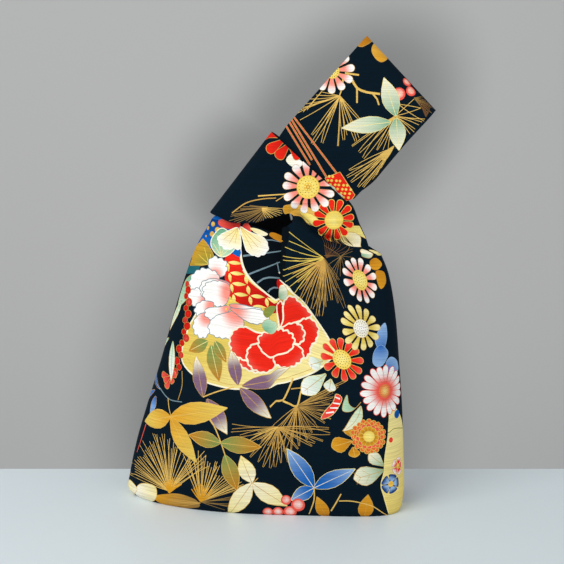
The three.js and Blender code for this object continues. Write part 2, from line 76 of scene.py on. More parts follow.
# height, of, left, right, front, back, left corner, right corner
sections = [
    (0.00, "base", -0.545, 0.425, 0.480, 0.480, 1.9, 6.0),
    (0.02, "base", -0.564, 0.433, 0.500, 0.500, 1.9, 5.5),
    (0.08, "base", -0.554, 0.438, 0.515, 0.515, 2.0, 4.6),
    (0.20, "base", -0.526, 0.434, 0.520, 0.520, 2.1, 3.8),
    (0.33, "base", -0.486, 0.428, 0.500, 0.500, 2.2, 3.2),
    (0.50, "base", -0.431, 0.414, 0.445, 0.440, 2.2, 2.8),
    (0.65, "base", -0.387, 0.400, 0.365, 0.360, 2.2, 2.5),
    (0.80, "neck", -0.677, 0.747, 1.240, 1.240, 2.2, 2.3),
    (0.90, "neck", -0.600, 0.665, 0.830, 0.830, 2.1, 2.1),
    (1.00, "neck", -0.485, 0.520, 0.500, 0.500, 2.0, 2.0),
    (1.06, "neck", -0.430, 0.460, 0.430, 0.430, 2.0, 2.0),
]
across_of = {"base": base_width, "neck": neck_width}
depth_of = {"base": base_depth, "neck": neck_depth}
sections = [
    (h, left * across_of[of], right * across_of[of], front * depth_of[of], back * depth_of[of], *corners)
    for h, of, left, right, front, back, *corners in sections
]
rim_left = [(0.0, 0.0), (0.5, -0.33), (0.8, -0.75), (1.0, -1.0)]
rim_right = [(0.0, -0.3), (0.1, 0.0), (0.3, -0.9), (0.5, -1.6), (0.75, -2.05), (1.0, -2.2)]
# down, edge, turn
pleat = [(0.0, 0.010, 165), (0.3, 0.005, 150), (0.6, -0.005, 105), (0.85, -0.020, 45), (1.0, -0.030, 0)]
# along, across, up, deep, turn, flat, leave
tuck = [
    (0.00, 0.115, 0.062, 1.45, 20, 0.03, 150),
    (0.12, 0.195, 0.050, 1.25, 75, 0.12, 122),
    (0.25, 0.285, -0.025, 1.20, 95, 0.14, 105),
    (0.37, 0.370, -0.100, 1.20, 100, 0.12, 98),
    (0.50, 0.460, -0.150, 1.15, 95, 0.10, 94),
    (0.75, 0.650, -0.205, 0.85, 60, 0.08, 97),
    (1.00, 0.850, -0.230, 0.30, 0, 0.08, 108),
]
# along, lower edge's across, up, deep and lean, upper edge's across, up, deep and lean, crown
band = [
    (0.14, 0.045, 0.067, 1.50, 60, 0.770, -0.051, 0.80, -20, 1.6),
    (0.30, -0.051, 0.045, 1.60, 80, 0.700, 0.122, 1.00, -5, 1.4),
    (0.45, -0.167, 0.006, 1.52, 88, 0.564, 0.263, 1.00, 20, 1.1),
    (0.60, -0.276, -0.022, 1.42, 86, 0.430, 0.385, 1.02, 35, 0.8),
    (0.80, -0.474, -0.026, 1.22, 70, 0.192, 0.599, 1.02, 45, 0.5),
    (1.00, -0.636, 0.035, 1.00, 51, -0.017, 0.790, 1.00, 51, 0.2),
]
band_fold = [(-0.718, 0.064), (-0.103, 0.859)]
# along, left edge's across and up, right edge's across and up, deep
long_knot = [
    (0.25, -0.605, 0.077, -0.230, 0.030, 1.00),
    (0.50, -0.500, 0.218, 0.120, 0.095, 1.00),
    (0.75, -0.275, 0.455, 0.430, 0.135, 1.00),
    (1.00, 0.045, 0.915, 0.715, 0.215, 1.02),
]
long_free = [(0.0, 0.57), (0.3, 0.85), (0.6, 1.0), (1.0, 1.0)]
# across, up, wide, tall, out, in shares, and how far the dent leans across as it rises
front_dents = [
    (0.20, 0.80, 0.050, 0.16, -0.036, 0), (0.31, 0.74, 0.045, 0.16, 0.026, 0),
    (0.66, 0.72, 0.040, 0.16, -0.028, 0), (0.78, 0.66, 0.050, 0.20, 0.026, 0),
    (0.12, 0.30, 0.070, 0.16, -0.030, 0), (0.50, 0.30, 0.160, 0.18, 0.022, 0),
    (0.90, 0.38, 0.050, 0.20, -0.026, 0), (0.84, 0.62, 0.022, 0.22, -0.015, 0.10),
    (0.77, 0.72, 0.020, 0.14, 0.011, 0.25), (0.28, 0.56, 0.028, 0.20, -0.011, -0.35),
    (0.63, 0.50, 0.034, 0.22, 0.012, 0.20), (0.36, 0.13, 0.060, 0.05, 0.014, 1.20),
    (0.72, 0.10, 0.080, 0.05, -0.012, -1.00), (0.46, 0.60, 0.024, 0.16, 0.009, -0.15),
]
back_dents = [
    (0.24, 0.78, 0.050, 0.16, -0.034, 0), (0.40, 0.80, 0.045, 0.18, 0.030, 0),
    (0.54, 0.76, 0.040, 0.18, -0.040, 0), (0.70, 0.74, 0.050, 0.16, 0.028, 0),
    (0.50, 0.28, 0.180, 0.18, 0.026, 0), (0.14, 0.34, 0.060, 0.18, -0.028, 0),
    (0.33, 0.60, 0.026, 0.20, -0.014, 0.20), (0.47, 0.66, 0.022, 0.18, 0.012, -0.10),
    (0.62, 0.58, 0.028, 0.22, -0.013, -0.25), (0.82, 0.55, 0.026, 0.20, 0.013, 0.15),
    (0.30, 0.12, 0.080, 0.05, 0.014, -1.10), (0.68, 0.14, 0.070, 0.06, -0.013, 1.00),
]
front = {"dip": 1, "pleat": 1, "tuck": 1, "opening": 0, "dents": front_dents, "deep": 3}
back = {"dip": -0.3, "pleat": 0, "tuck": 0.5, "opening": 4, "dents": back_dents, "deep": 4}


def smooth(t):
    t = min(1.0, max(0.0, t))
    return t * t * (3 - 2 * t)


def mix(a, b, t):
    return a + (b - a) * t


def through(rows, column, at):
    """A smooth curve through a table's rows that never swings past them."""
    last = len(rows) - 1
    if at <= rows[0][0]:
        return rows[0][column]
    if at >= rows[last][0]:
        return rows[last][column]
    i = 0
    while at > rows[i + 1][0]:
        i += 1

    def slope(k):
        return (rows[k + 1][column] - rows[k][column]) / (rows[k + 1][0] - rows[k][0])

    def tangent(k):
        if k == 0:
            return slope(0)
        if k == last:
            return slope(last - 1)
        before, after = slope(k - 1), slope(k)
        return 0 if before * after <= 0 else 2 * before * after / (before + after)

    span = rows[i + 1][0] - rows[i][0]
    t = (at - rows[i][0]) / span
    return (rows[i][column] * (1 + 2 * t) * (1 - t) ** 2 + rows[i + 1][column] * t * t * (3 - 2 * t)
            + span * (tangent(i) * t * (1 - t) ** 2 + tangent(i + 1) * t * t * (t - 1)))


outline_steps = 240
half_circle = math.pi * (1 - np.arange(outline_steps + 1) / outline_steps)
circle_across, circle_deep = np.cos(half_circle), np.clip(np.sin(half_circle), 0, 1)


def outline(height, half):
    """One half of the pouch's outline at a height: x, y and the length along it."""
    at = height / pouch_height
    left, right = through(sections, 1, at), through(sections, 2, at)
    deep = through(sections, half["deep"], at)
    corner = np.where(circle_across < 0, through(sections, 5, at), through(sections, 6, at))
    swell = np.sign(circle_across) * np.abs(circle_across) ** (2 / corner)
    x = (left + right) / 2 + (right - left) / 2 * swell
    y = -deep * circle_deep ** (2 / corner)
    length = np.concatenate([[0], np.cumsum(np.hypot(np.diff(x), np.diff(y)))])
    return x, y, length


def fold_path(turn, overlap, flat):
    """A fold laid over, as steps on and out, with its rolled edge at distance 0."""
    angle = math.radians(turn)
    inside, outside = 0.5, stack + 0.5
    straight = overlap * max(0, -math.cos(angle))
    bend = (fold_columns - 1) // 2
    k = np.arange(fold_columns + 1)
    first = np.minimum(1, k / bend) * angle
    on, out = inside * np.sin(first), inside * (1 - np.cos(first))
    second = angle * (1 - (k - bend - 1) / (fold_columns - bend - 1))
    past = k > bend
    on = on + past * (straight * math.cos(angle) + outside * (math.sin(angle) - np.sin(second)))
    out = out + past * (straight * math.sin(angle) + outside * (np.cos(second) - math.cos(angle)))
    on = on + (k / fold_columns - 0.5) * flat * (1 - turn / 180)
    edge = inside * math.sin(angle) + straight * math.cos(angle) + outside * (math.sin(angle) - 1)
    return on - (edge if turn >= 90 else edge * turn / 90), out


def wall_columns():
    """The columns of the pouch wall, from the left seam to the right seam."""
    columns = []
    for k in range(left_columns):
        rest = (k - left_loop_columns) / (left_columns - left_loop_columns)
        columns.append(("left", k / left_loop_columns * 0.5 if rest <= 0 else mix(0.5, 1, rest)))
    columns += [("fold", k) for k in range(fold_columns + 1)]
    for k in range(1, right_columns + 1):
        rest = (k - right_neck_columns) / (right_columns - right_neck_columns)
        columns.append(("right", k / right_neck_columns * 0.1 if rest <= 0 else mix(0.1, 1, rest)))
    return columns


def rim_height(column, half):
    """How high the pouch's upper edge lies at a column."""
    part, share = column
    if part == "left":
        rise = half["dip"] * through(rim_left, 1, share)
    elif part == "right":
        rise = through(rim_right, 1, share)
    else:
        rise = mix(-half["dip"], rim_right[0][1], half["pleat"] * smooth(share / fold_columns))
    return pouch_height + rise * neck_drop


def wall_point(column, height, half):
    """A point of the pouch wall, with its pleat, its hollows and its creases."""
    part, share = column
    x, y, length = outline(height, half)
    down = (pouch_height - height) / pleat_length
    turn = half["pleat"] * through(pleat, 2, down)
    on, out = fold_path(turn, pleat_overlap, pleat_overlap)
    edge = np.interp(through(pleat, 1, down) * neck_width, x, length)
    lift = 0
    if part == "left":
        at = share * (edge + on[0])
    elif part == "fold":
        at, lift = edge + on[share], out[share]
    else:
        at = mix(edge + on[-1], length[-1], share)
        lift = out[-1] * (1 - smooth(share / 0.7))
    step = 1.5
    ahead = [np.interp(at + d, length, x) for d in (step, -step)]
    aside = [np.interp(at + d, length, y) for d in (step, -step)]
    nx, ny = aside[0] - aside[1], ahead[1] - ahead[0]
    size = math.hypot(nx, ny)
    across, up = at / length[-1], height / pouch_height
    seam = min(1, across / 0.125) * min(1, (1 - across) / 0.125)
    for middle, level, wide, tall, deep, lean in half["dents"]:
        a = (across - middle - lean * (up - level)) / wide
        b = (up - level) / tall
        lift += deep * base_depth * seam * math.exp(-a * a - b * b)
    px = np.interp(at, length, x) + nx / size * lift
    py = np.interp(at, length, y) + ny / size * lift
    return px, min(py, -seam_half), height


def pouch_rows(half):
    """The base from its middle seam out, and the wall from the base up."""
    columns = wall_columns()
    foot = np.array([wall_point(column, 0, half) for column in columns])
    inset = 0.05 * base_width
    even = np.linspace(foot[0, 0] + inset, foot[-1, 0] - inset, len(foot))
    rows = []
    for k in range(base_rows):
        forward = k / base_rows
        row = foot * [0, forward, 0]
        row[:, 0] = mix(even, foot[:, 0], forward)
        row[:, 1] = np.minimum(row[:, 1], -seam_half)
        rows.append(row)
    rims = [rim_height(column, half) for column in columns]
    for k in range(wall_rows + 1):
        up = (k / wall_rows) ** 1.15
        rows.append(np.array([wall_point(column, rim * up, half) for column, rim in zip(columns, rims)]))
    return np.array(rows)


def knot_point(across, up, deep):
    """A point near the knot, in widths of the loop from the middle of the pouch's upper edge."""
    return np.array([across * loop_width, -deep, pouch_height + up * loop_width])


def long_loop_rows(shoulder, half):
    """The long loop, from the left shoulder through the knot and on to the seam at its end."""
    count = len(shoulder) - 1
    share = np.arange(count + 1)[:, None] / count
    bend = shoulder - mix(shoulder[0], shoulder[-1], share)
    rows = [shoulder]
    for k in range(1, long_knot_rows + 1):
        at = k / long_knot_rows
        ends = []
        for edge, column in ((0, 1), (-1, 3)):
            station = knot_point(through(long_knot, column, at), through(long_knot, column + 1, at),
                                 through(long_knot, 5, at) * long_face)
            ends.append(mix(shoulder[edge], station, min(1, at / long_knot[0][0])))
        rows.append(mix(ends[0], ends[1], share) + bend * (1 - smooth(at / 0.5)))
    axis = np.array([math.cos(long_lean), 0, math.sin(long_lean)])
    widthways = np.array([math.sin(long_lean), 0, -math.cos(long_lean)])
    start, straight = rows[-1], 1 - loop_face / long_reach
    for k in range(1, long_free_rows + 1):
        at = straight * k / long_free_rows
        aside = widthways * half["opening"] * share * (1 - at) * smooth(at / 0.25)
        row = start + axis * at * long_reach + aside
        soft = 4 * share[:, 0] * (1 - share[:, 0]) * smooth(at / 0.4) * smooth((straight - at) / 0.3)
        bulge = (1.3 + 0.7 * np.sin(9 * at + 5 * share[:, 0])) * soft
        row[:, 1] = -through(long_free, 1, at) * loop_face - bulge
        rows.append(row)
    end = rows[-1]
    for k in range(1, turn_rows + 1):
        angle = math.pi / 2 * k / turn_rows
        row = end + axis * loop_face * math.sin(angle)
        row[:, 1] = np.minimum(end[:, 1] * math.cos(angle), -seam_half)
        rows.append(row)
    return np.array(rows)


def short_loop_rows(shoulder, half):
    """The short loop, from the right shoulder over the tuck and the knot to the seam at its left fold."""
    count = len(shoulder) - 1
    share = np.arange(count + 1) / count
    steps = []
    for t in share:
        on, out = fold_path(half["tuck"] * through(tuck, 4, t), tuck_overlap,
                            through(tuck, 5, t) * loop_width)
        angle = math.radians(through(tuck, 6, t))
        place = knot_point(through(tuck, 1, t), through(tuck, 2, t), through(tuck, 3, t) * short_face)
        steps.append(place + on[:, None] * [math.cos(angle), 0, math.sin(angle)] - out[:, None] * [0, 1,
                                                                                                   0])
    steps = np.array(steps).transpose(1, 0, 2)
    rows = [shoulder]
    for k in range(1, shoulder_rows):
        row = mix(shoulder, steps[0], k / shoulder_rows)
        row[:, 1] = mix(shoulder[:, 1], steps[0][:, 1], smooth(k / shoulder_rows))
        rows.append(row)
    rows += list(steps)
    t = share[:, None]
    for k in range(1, band_rows + 1):
        at = k / band_rows
        ends, pulls = [], []
        for first in (1, 5):
            across, up, deep, lean = (through(band, first + n, at) for n in range(4))
            ends.append(knot_point(across, up, deep * short_face))
            pulls.append(np.array([math.cos(math.radians(lean)), 0, math.sin(math.radians(lean))]))
        pull = band_swell * np.linalg.norm(ends[0] - ends[1])
        row = (ends[0] * (1 + 2 * t) * (1 - t) ** 2 + ends[1] * t * t * (3 - 2 * t)
               + pull * (pulls[0] * t * (1 - t) ** 2 + pulls[1] * t * t * (t - 1)))
        row[:, 1] -= through(band, 9, at) * stack * 4 * share * (1 - share)
        rows.append(row)
    end = rows[-1]
    seam = mix(knot_point(*band_fold[0], 0), knot_point(*band_fold[1], 0), t)
    for k in range(1, turn_rows + 1):
        angle = math.pi / 2 * k / turn_rows
        row = mix(end, seam, math.sin(angle))
        row[:, 1] = np.minimum(end[:, 1] * math.cos(angle), -seam_half)
        rows.append(row)
    return np.array(rows)


def flat_lengths(grid, axis):
    """Mean spacing of a grid's columns or rows, added up."""
    steps = np.linalg.norm(np.diff(grid, axis=axis), axis=2).mean(axis=1 - axis)
    return np.concatenate([[0], np.cumsum(np.maximum(steps, 0.35))])


def cut_cloth(half):
    """One half: its points, their outward directions, the triangles of each part, the pattern that it is cut
    to, and for each part a flat drawing plane on which its print keeps its shape."""
    wall = pouch_rows(half)
    loop = long_loop_rows(wall[-1, :left_loop_columns + 1], half)
    short_start = left_columns + fold_columns + right_neck_columns
    short = short_loop_rows(wall[-1, short_start:], half)
    parts = {"wall": wall, "loop": loop, "band": short}
    numbers, points, pattern = {}, [wall.reshape(-1, 3)], []
    numbers["wall"] = np.arange(wall.shape[0] * wall.shape[1]).reshape(wall.shape[:2])
    across = flat_lengths(wall[base_rows + 30:], 1)
    up = flat_lengths(wall, 0)
    pattern.append(np.stack(np.meshgrid(across, up), axis=-1).reshape(-1, 2))
    used = numbers["wall"].size
    for name, grid, first in (("loop", loop, 0), ("band", short, short_start)):
        fresh = used + np.arange((grid.shape[0] - 1) * grid.shape[1]).reshape(-1, grid.shape[1])
        shared = numbers["wall"][-1, first:first + grid.shape[1]]
        numbers[name] = np.vstack([shared[None], fresh])
        used += fresh.size
        points.append(grid[1:].reshape(-1, 3))
        rise = up[-1] + flat_lengths(grid, 0)[1:]
        pattern.append(np.stack(np.meshgrid(across[first:first + grid.shape[1]], rise),
                                axis=-1).reshape(-1, 2))
    points, pattern = np.vstack(points), np.vstack(pattern)
    triangles = {}
    for name, number in numbers.items():
        a, b, c, d = (number[:-1, :-1], number[:-1, 1:], number[1:, 1:], number[1:, :-1])
        triangles[name] = np.concatenate([np.stack([a, b, c], -1).reshape(-1, 3),
                                          np.stack([a, c, d], -1).reshape(-1, 3)])
    every = np.vstack(list(triangles.values()))
    corner = points[every]
    faces = np.cross(corner[:, 1] - corner[:, 0], corner[:, 2] - corner[:, 0])
    facing = np.zeros_like(points)
    for k in range(3):
        np.add.at(facing, every[:, k], faces)
    on_seam = np.abs(points[:, 1] + seam_half) < 1e-6
    facing[on_seam, 1] = 0
    facing /= np.maximum(np.linalg.norm(facing, axis=1), 1e-9)[:, None]
    faces /= np.maximum(np.linalg.norm(faces, axis=1), 1e-9)[:, None]
    lean, count = np.zeros(len(points)), np.zeros(len(points))
    for k in range(3):
        np.add.at(lean, every[:, k], np.maximum(0, (faces * facing[every[:, k]]).sum(1)))
        np.add.at(count, every[:, k], 1)
    thicken = facing / np.maximum(0.75, lean / np.maximum(count, 1))[:, None]
    # drawing planes: lengths along the rows for the wall, the view from the front for the loops, drawn out
    # by the length of the turn where each loop folds back
    plane = {name: np.zeros((len(points), 2)) for name in parts}
    run = np.concatenate([np.zeros((wall.shape[0], 1)),
                          np.cumsum(np.linalg.norm(np.diff(wall, axis=1), axis=2), axis=1)], axis=1)
    run -= run[:, [left_columns]]
    plane["wall"][numbers["wall"].ravel()] = np.stack([run, np.repeat(up[:, None], run.shape[1], 1)],
                                                      -1).reshape(-1, 2)
    for name, grid in (("loop", loop), ("band", short)):
        seen = grid[:, :, [0, 2]].copy()
        end = grid.shape[0] - 1 - turn_rows
        way = seen[-1] - seen[end]
        way /= np.maximum(np.linalg.norm(way, axis=1), 1e-9)[:, None]
        steps = np.linalg.norm(np.diff(grid[end:], axis=0), axis=2)
        seen[end + 1:] = seen[end] + way[None] * np.cumsum(steps, axis=0)[:, :, None]
        plane[name][numbers[name].ravel()] = seen.reshape(-1, 2)
    edge = [numbers["wall"][0], numbers["wall"][1:, -1],
            numbers["band"][1:, -1], numbers["band"][-1, -2::-1], numbers["band"][-2:0:-1, 0],
            numbers["wall"][-1, short_start:left_loop_columns:-1],
            numbers["loop"][:, -1], numbers["loop"][-1, -2::-1], numbers["loop"][-2:0:-1, 0],
            numbers["wall"][:0:-1, 0]]
    edge = np.concatenate(edge)
    joins = [numbers["wall"][-1, :left_loop_columns + 1], numbers["wall"][-1, short_start:]]
    return {"points": points, "facing": facing, "thicken": thicken, "triangles": triangles,
            "numbers": numbers, "pattern": pattern, "plane": plane, "edge": edge, "joins": joins,
            "rim": up[-1], "between": (across[left_loop_columns] + across[short_start]) / 2}


front_cut, back_cut = cut_cloth(front), cut_cloth(back)
# the solids stand over the middle of their common box
shift = np.array([4.29, -0.24, 0])

# The printing on the cloth: flowers, leaves and pine needles in opaque inks with thin gold outlines, screen
# printed on a blackish teal cotton. Each shape is drawn flat, on the drawing plane of the part that it is on.
# Places are given as they are measured in the picture, in its 564 by 564 units, and sizes in millimetres.
right_way = np.array([math.cos(turned), math.sin(turned), 0])
upward = np.cross(backward, right_way)
picture_size, sensor_width = 564, 36
picture_middle = picture_size / 2
reach = picture_size * camera_data.lens / sensor_width


def seen_from_camera(points):
    """Where the picture shows points, and how far away they are."""
    from_camera = points - (aim + away * backward)
    depth = -from_camera @ backward
    return np.stack([picture_middle + reach * (from_camera @ right_way) / depth,
                     picture_middle - reach * (from_camera @ upward) / depth, depth], axis=-1)


def carry(triangles, chosen, here, there, spots):
    """Spots on one flat plane carried to another by the triangles that hold them."""
    a, b, c = (triangles[chosen, k] for k in range(3))
    p, q, r = here[b] - here[a], here[c] - here[a], spots - here[a]
    area = p[:, 0] * q[:, 1] - p[:, 1] * q[:, 0]
    area = np.where(np.abs(area) < 1e-6, 1e-6, area)
    s = np.clip((r[:, 0] * q[:, 1] - r[:, 1] * q[:, 0]) / area, -12, 12)[:, None]
    t = np.clip((p[:, 0] * r[:, 1] - p[:, 1] * r[:, 0]) / area, -12, 12)[:, None]
    return there[a] + s * (there[b] - there[a]) + t * (there[c] - there[a])


def nearest(tree, spots):
    """The triangle that is nearest to each spot."""
    return np.array([tree.find_nearest((float(x), float(y), 0.0))[2] for x, y in spots])


def flat_tree(plane, triangles):
    return BVHTree.FromPolygons([(float(x), float(y), 0.0) for x, y in plane], triangles.tolist())


def set_up_drawing(cut):
    """What drawing on one half needs: where the picture shows it, and its flat nets to look places up in."""
    cut["picture"] = seen_from_camera(cut["points"] + shift)
    cut["trees"], cut["shown"] = {}, {}
    for name, triangles in cut["triangles"].items():
        corner = cut["picture"][triangles]
        p, q = corner[:, 1] - corner[:, 0], corner[:, 2] - corner[:, 0]
        towards = p[:, 0] * q[:, 1] - p[:, 1] * q[:, 0] < -1e-4
        shown = triangles[towards]
        if name == "band":
            low = cut["numbers"]["band"][shoulder_rows + fold_columns // 2, 0]
            shown = shown[shown.max(1) >= low]
        cut["shown"][name] = shown
        seen = cut["picture"].copy()
        cut["trees"][name] = (
            BVHTree.FromPolygons([(x, y, z * 0.1) for x, y, z in seen.tolist()], shown.tolist()),
            flat_tree(seen[:, :2], shown),
            flat_tree(cut["plane"][name], shown if name == "band" else triangles),
            shown if name == "band" else triangles,
        )
    cut["shapes"] = []


# one entry here is no ink of the print but the ground's navy made darker, used as painted shade
inks = {
    "ground": (3, 20, 31), "night": (1, 9, 16), "gold": (200, 156, 78), "bright gold": (226, 184, 96),
    "dull gold": (146, 114, 62), "brown": (104, 70, 40), "white": (242, 239, 233),
    "ivory": (240, 232, 202), "cream": (238, 220, 146), "sand": (218, 190, 88),
    "pale yellow": (246, 230, 140), "yellow": (236, 202, 84), "ochre": (214, 150, 34),
    "amber": (190, 122, 26), "orange": (226, 104, 50), "olive": (134, 134, 52), "moss": (120, 146, 78),
    "green": (96, 160, 126), "pale green": (186, 214, 180), "pink": (242, 138, 122),
    "rose": (232, 88, 74), "red": (228, 38, 22), "deep red": (176, 16, 12), "mauve": (124, 94, 116),
    "blue": (10, 92, 172), "deep blue": (6, 56, 118), "pale blue": (150, 184, 222),
    "grey blue": (110, 132, 140), "teal": (30, 96, 104),
}


def ink(name):
    """An ink as the light that it gives back."""
    shades = np.array(inks[name]) / 255
    return np.where(shades <= 0.04045, shades / 12.92, ((shades + 0.055) / 1.055) ** 2.4)


chance = random.Random(7)
set_up_drawing(front_cut)
set_up_drawing(back_cut)
# what is printed now: the half, the part of it, and how far the repeat is set to the side
cut, on, moved = front_cut, "loop", (0, 0)


def flat(places):
    """Places in the picture as places on the part's drawing plane. The camera does not see the back, whose
    print is laid out to the same scale, the wall's from its foot up."""
    if cut is back_cut:
        steps = (np.array(places, float) + moved - picture_middle) * away / reach * [1, -1]
        return steps + ([-1, 37.1 + 230 * away / reach] if on == "wall" else [0, aim[2]])
    shown, level, _, _ = cut["trees"][on]
    chosen = []
    for x, y in places:
        hit = shown.ray_cast((x, y, -10.0), (0, 0, 1))
        chosen.append(hit[2] if hit[0] is not None else level.find_nearest((x, y, 0.0))[2])
    return carry(cut["shown"][on], np.array(chosen), cut["picture"][:, :2], cut["plane"][on],
                 np.array(places, float))


def lay(edge, colour, other=None, start=None, end=None, power=1.0, round_from=None, size=1.0):
    """One printed shape. Its ink may fade to another, from start to end or outwards from a point. Gold inks
    shine."""
    cut["shapes"].append((on, np.array(edge, float), colour, other or colour, start, end, power,
                          1.0 if "gold" in colour else 0.0, round_from, size))


def petal_edge(base, tip, width, profile, grow=0.0):
    """The outline of a petal or leaf, from its root to its tip."""
    way = tip - base
    length = np.linalg.norm(way)
    way = way / length
    side = np.array([-way[1], way[0]])
    t, w = profile
    centre = base + np.outer(t * (length + grow), way)
    half = (w * width / 2 + grow)[:, None] * side
    return np.vstack([centre - half, (centre + half)[::-1]])


round_petal = (np.array([0.0, 0.2, 0.42, 0.62, 0.78, 0.9, 0.97, 1.0]),
               np.array([0.28, 0.42, 0.66, 0.9, 1.0, 0.86, 0.5, 0.16]))
long_leaf = (np.array([0.0, 0.1, 0.25, 0.42, 0.6, 0.76, 0.9, 1.0]),
             np.array([0.05, 0.42, 0.82, 1.0, 0.9, 0.62, 0.26, 0.0]))
spoon_leaf = (np.array([0.0, 0.15, 0.32, 0.5, 0.68, 0.82, 0.93, 1.0]),
              np.array([0.06, 0.3, 0.62, 0.92, 1.0, 0.8, 0.42, 0.05]))


def disc(centre, size, colour, other=None, corners=18, line=0.0, squeeze=(1.0, 1.0)):
    """A round spot, with a gold line round it where that has a width."""
    angle = np.arange(corners) * 2 * math.pi / corners
    round_edge = np.stack([np.cos(angle), np.sin(angle)], -1) * squeeze
    if line:
        lay(centre + round_edge * (size + line), "gold")
    lay(centre + round_edge * size, colour, other, round_from=centre, size=size)


def dot(place, *inks_and_size, **more):
    """A round spot at a place in the picture."""
    disc(flat([place])[0], *inks_and_size, **more)


def flower(place, size, petals, inner, outer, eye="pale yellow", eye_size=0.42, turn=0.0,
           power=(0.4, 0.85), line="gold", width=0.74, narrow=1.0, dots="brown", eye_rim="yellow",
           line_width=0.22, start=None):
    """A daisy-like chrysanthemum: spoon petals round a dotted eye."""
    centre = flat([place])[0]
    squeeze = np.array([narrow, 1.0])
    start = eye_size * 0.8 if start is None else start
    for k in range(petals):
        angle = math.radians(turn) + k * 2 * math.pi / petals + chance.uniform(-0.03, 0.03)
        way = np.array([math.cos(angle), math.sin(angle)])
        base, tip = way * size * start, way * size * (1 + chance.uniform(-0.04, 0.04))
        wide = width * 2 * math.pi * size * 0.78 / petals
        lay(centre + petal_edge(base, tip, wide, round_petal, line_width) * squeeze, line)
        lay(centre + petal_edge(base, tip, wide, round_petal) * squeeze, inner, outer,
            centre + base * squeeze, centre + tip * squeeze, power)
    disc(centre, size * eye_size, eye, eye_rim, line=0.3, squeeze=squeeze)
    if dots:
        for ring, count in ((0.0, 1), (0.26, 6), (0.52, 11), (0.8, 18)):
            for k in range(count):
                angle = (k + ring) * 2 * math.pi / count
                spot = centre + size * eye_size * ring * np.array([math.cos(angle),
                                                                   math.sin(angle)]) * squeeze
                disc(spot, 0.36, dots, corners=5)


def leaf(base, tip, width, inner, outer, profile=long_leaf, vein="gold", power=1.0, line="gold", bend=0.0,
         ribs=0):
    """An outlined leaf with a middle vein."""
    a, b = flat([base, tip])
    way = b - a
    side = np.array([-way[1], way[0]])

    def bowed(edge):
        t = ((edge - a) @ way) / (way @ way)
        return edge + np.outer(4 * bend * t * (1 - t), side)

    lay(bowed(petal_edge(a, b, width, profile, 0.35)), line)
    lay(bowed(petal_edge(a, b, width, profile)), inner, outer, a, b, power)
    if vein:
        stroke(bowed(a + np.outer(np.linspace(0, 0.9, 8), way)), 0.5, 0.3, vein)
    size = np.linalg.norm(way)
    for k in range(ribs):
        t = 0.18 + 0.6 * k / max(1, ribs - 1)
        for hand in (-1, 1):
            rib = a + way * t + np.array([[0, 0], [0.5, 0.5], [1, 1]]) @ np.array([
                way / size * width * 0.3, side / size * width * 0.34 * hand])
            stroke(bowed(rib), 0.3, 0.2, vein or "gold")


def stroke(points, width, end_width, colour="gold"):
    """A drawn line of some width."""
    points = np.array(points, float)
    way = np.gradient(points, axis=0)
    way /= np.maximum(np.linalg.norm(way, axis=1), 1e-9)[:, None]
    side = np.stack([-way[:, 1], way[:, 0]], -1)
    half = np.linspace(width, end_width, len(points))[:, None] / 2
    edge = np.vstack([points - side * half, (points + side * half)[::-1]])
    lay(edge, colour)


def curved(points, step=2.5, closed=False):
    """A smooth line through points."""
    points = np.array(points, float)
    n = len(points)
    rounds = n if closed else n - 1
    result = []
    for k in range(rounds):
        p1, p2 = points[k % n], points[(k + 1) % n]
        p0 = points[(k - 1) % n] if closed or k > 0 else 2 * p1 - p2
        p3 = points[(k + 2) % n] if closed or k + 2 < n else 2 * p2 - p1
        for t in np.linspace(0, 1, max(2, int(np.linalg.norm(p2 - p1) / step) + 1))[:-1]:
            result.append(0.5 * (2 * p1 + (p2 - p0) * t + (2 * p0 - 5 * p1 + 4 * p2 - p3) * t * t
                                 + (3 * p1 - p0 - 3 * p2 + p3) * t ** 3))
    if not closed:
        result.append(points[-1])
    return np.array(result)


def branch(places, width=0.9, end_width=0.6, colour="gold"):
    """A stem, or any bent line, through places in the picture."""
    stroke(curved(flat(places)), width, end_width, colour)


def patch(places, colour, other=None, start=None, end=None, line=None, line_width=0.5, smoothed=True):
    """An area of one ink, drawn round by its corners."""
    corners = flat(places)
    edge = curved(corners, closed=True) if smoothed else np.vstack([
        np.linspace(a, b, max(2, int(np.linalg.norm(b - a) / 3) + 1))[:-1]
        for a, b in zip(corners, np.roll(corners, -1, axis=0))])
    ends = [None if p is None else flat([p])[0] for p in (start, end)]
    lay(edge, colour, other, *ends)
    if line:
        stroke(np.vstack([edge, edge[:1]]), line_width, line_width, line)


def needles(node, tips, colour="bright gold", width=0.56, pairs=True, sway=0.03):
    """Pine needles spread from a node, each to its own tip."""
    start = np.array(node, float)
    for end in np.array(tips, float):
        for hand in ((-1, 1) if pairs else (0,)):
            across = np.array([-(end - start)[1], (end - start)[0]])
            tip = end + across * hand * chance.uniform(0.008, 0.024)
            root = start + (tip - start) * chance.uniform(0, 0.05)
            t = np.linspace(0, 1, max(2, int(np.linalg.norm(tip - root) / 7) + 1))[:, None]
            bow = across * (hand * 0.02 + chance.uniform(-sway, sway))
            stroke(flat(mix(root, tip, t) + bow * 4 * t * (1 - t)), width, width * 0.7, colour)


def spread(node, rim, count, colour="bright gold", width=0.6, short=0.8):
    """Pine needles spread evenly from a node towards an outer line."""
    rim = np.array(rim, float)
    tips = []
    for k in range(count):
        at = k / (count - 1) * (len(rim) - 1)
        i = min(int(at), len(rim) - 2)
        tip = mix(rim[i], rim[i + 1], at - i)
        tips.append(np.array(node) + (tip - np.array(node)) * chance.uniform(short, 1.04))
    needles(node, [tuple(tip) for tip in tips], colour, width, pairs=False)


def berry(place, size, middle="ivory"):
    centre = flat([place])[0]
    disc(centre, size, "rose", corners=16)
    disc(centre + [0, size * 0.06], size * 0.72, middle, "pink", corners=14)


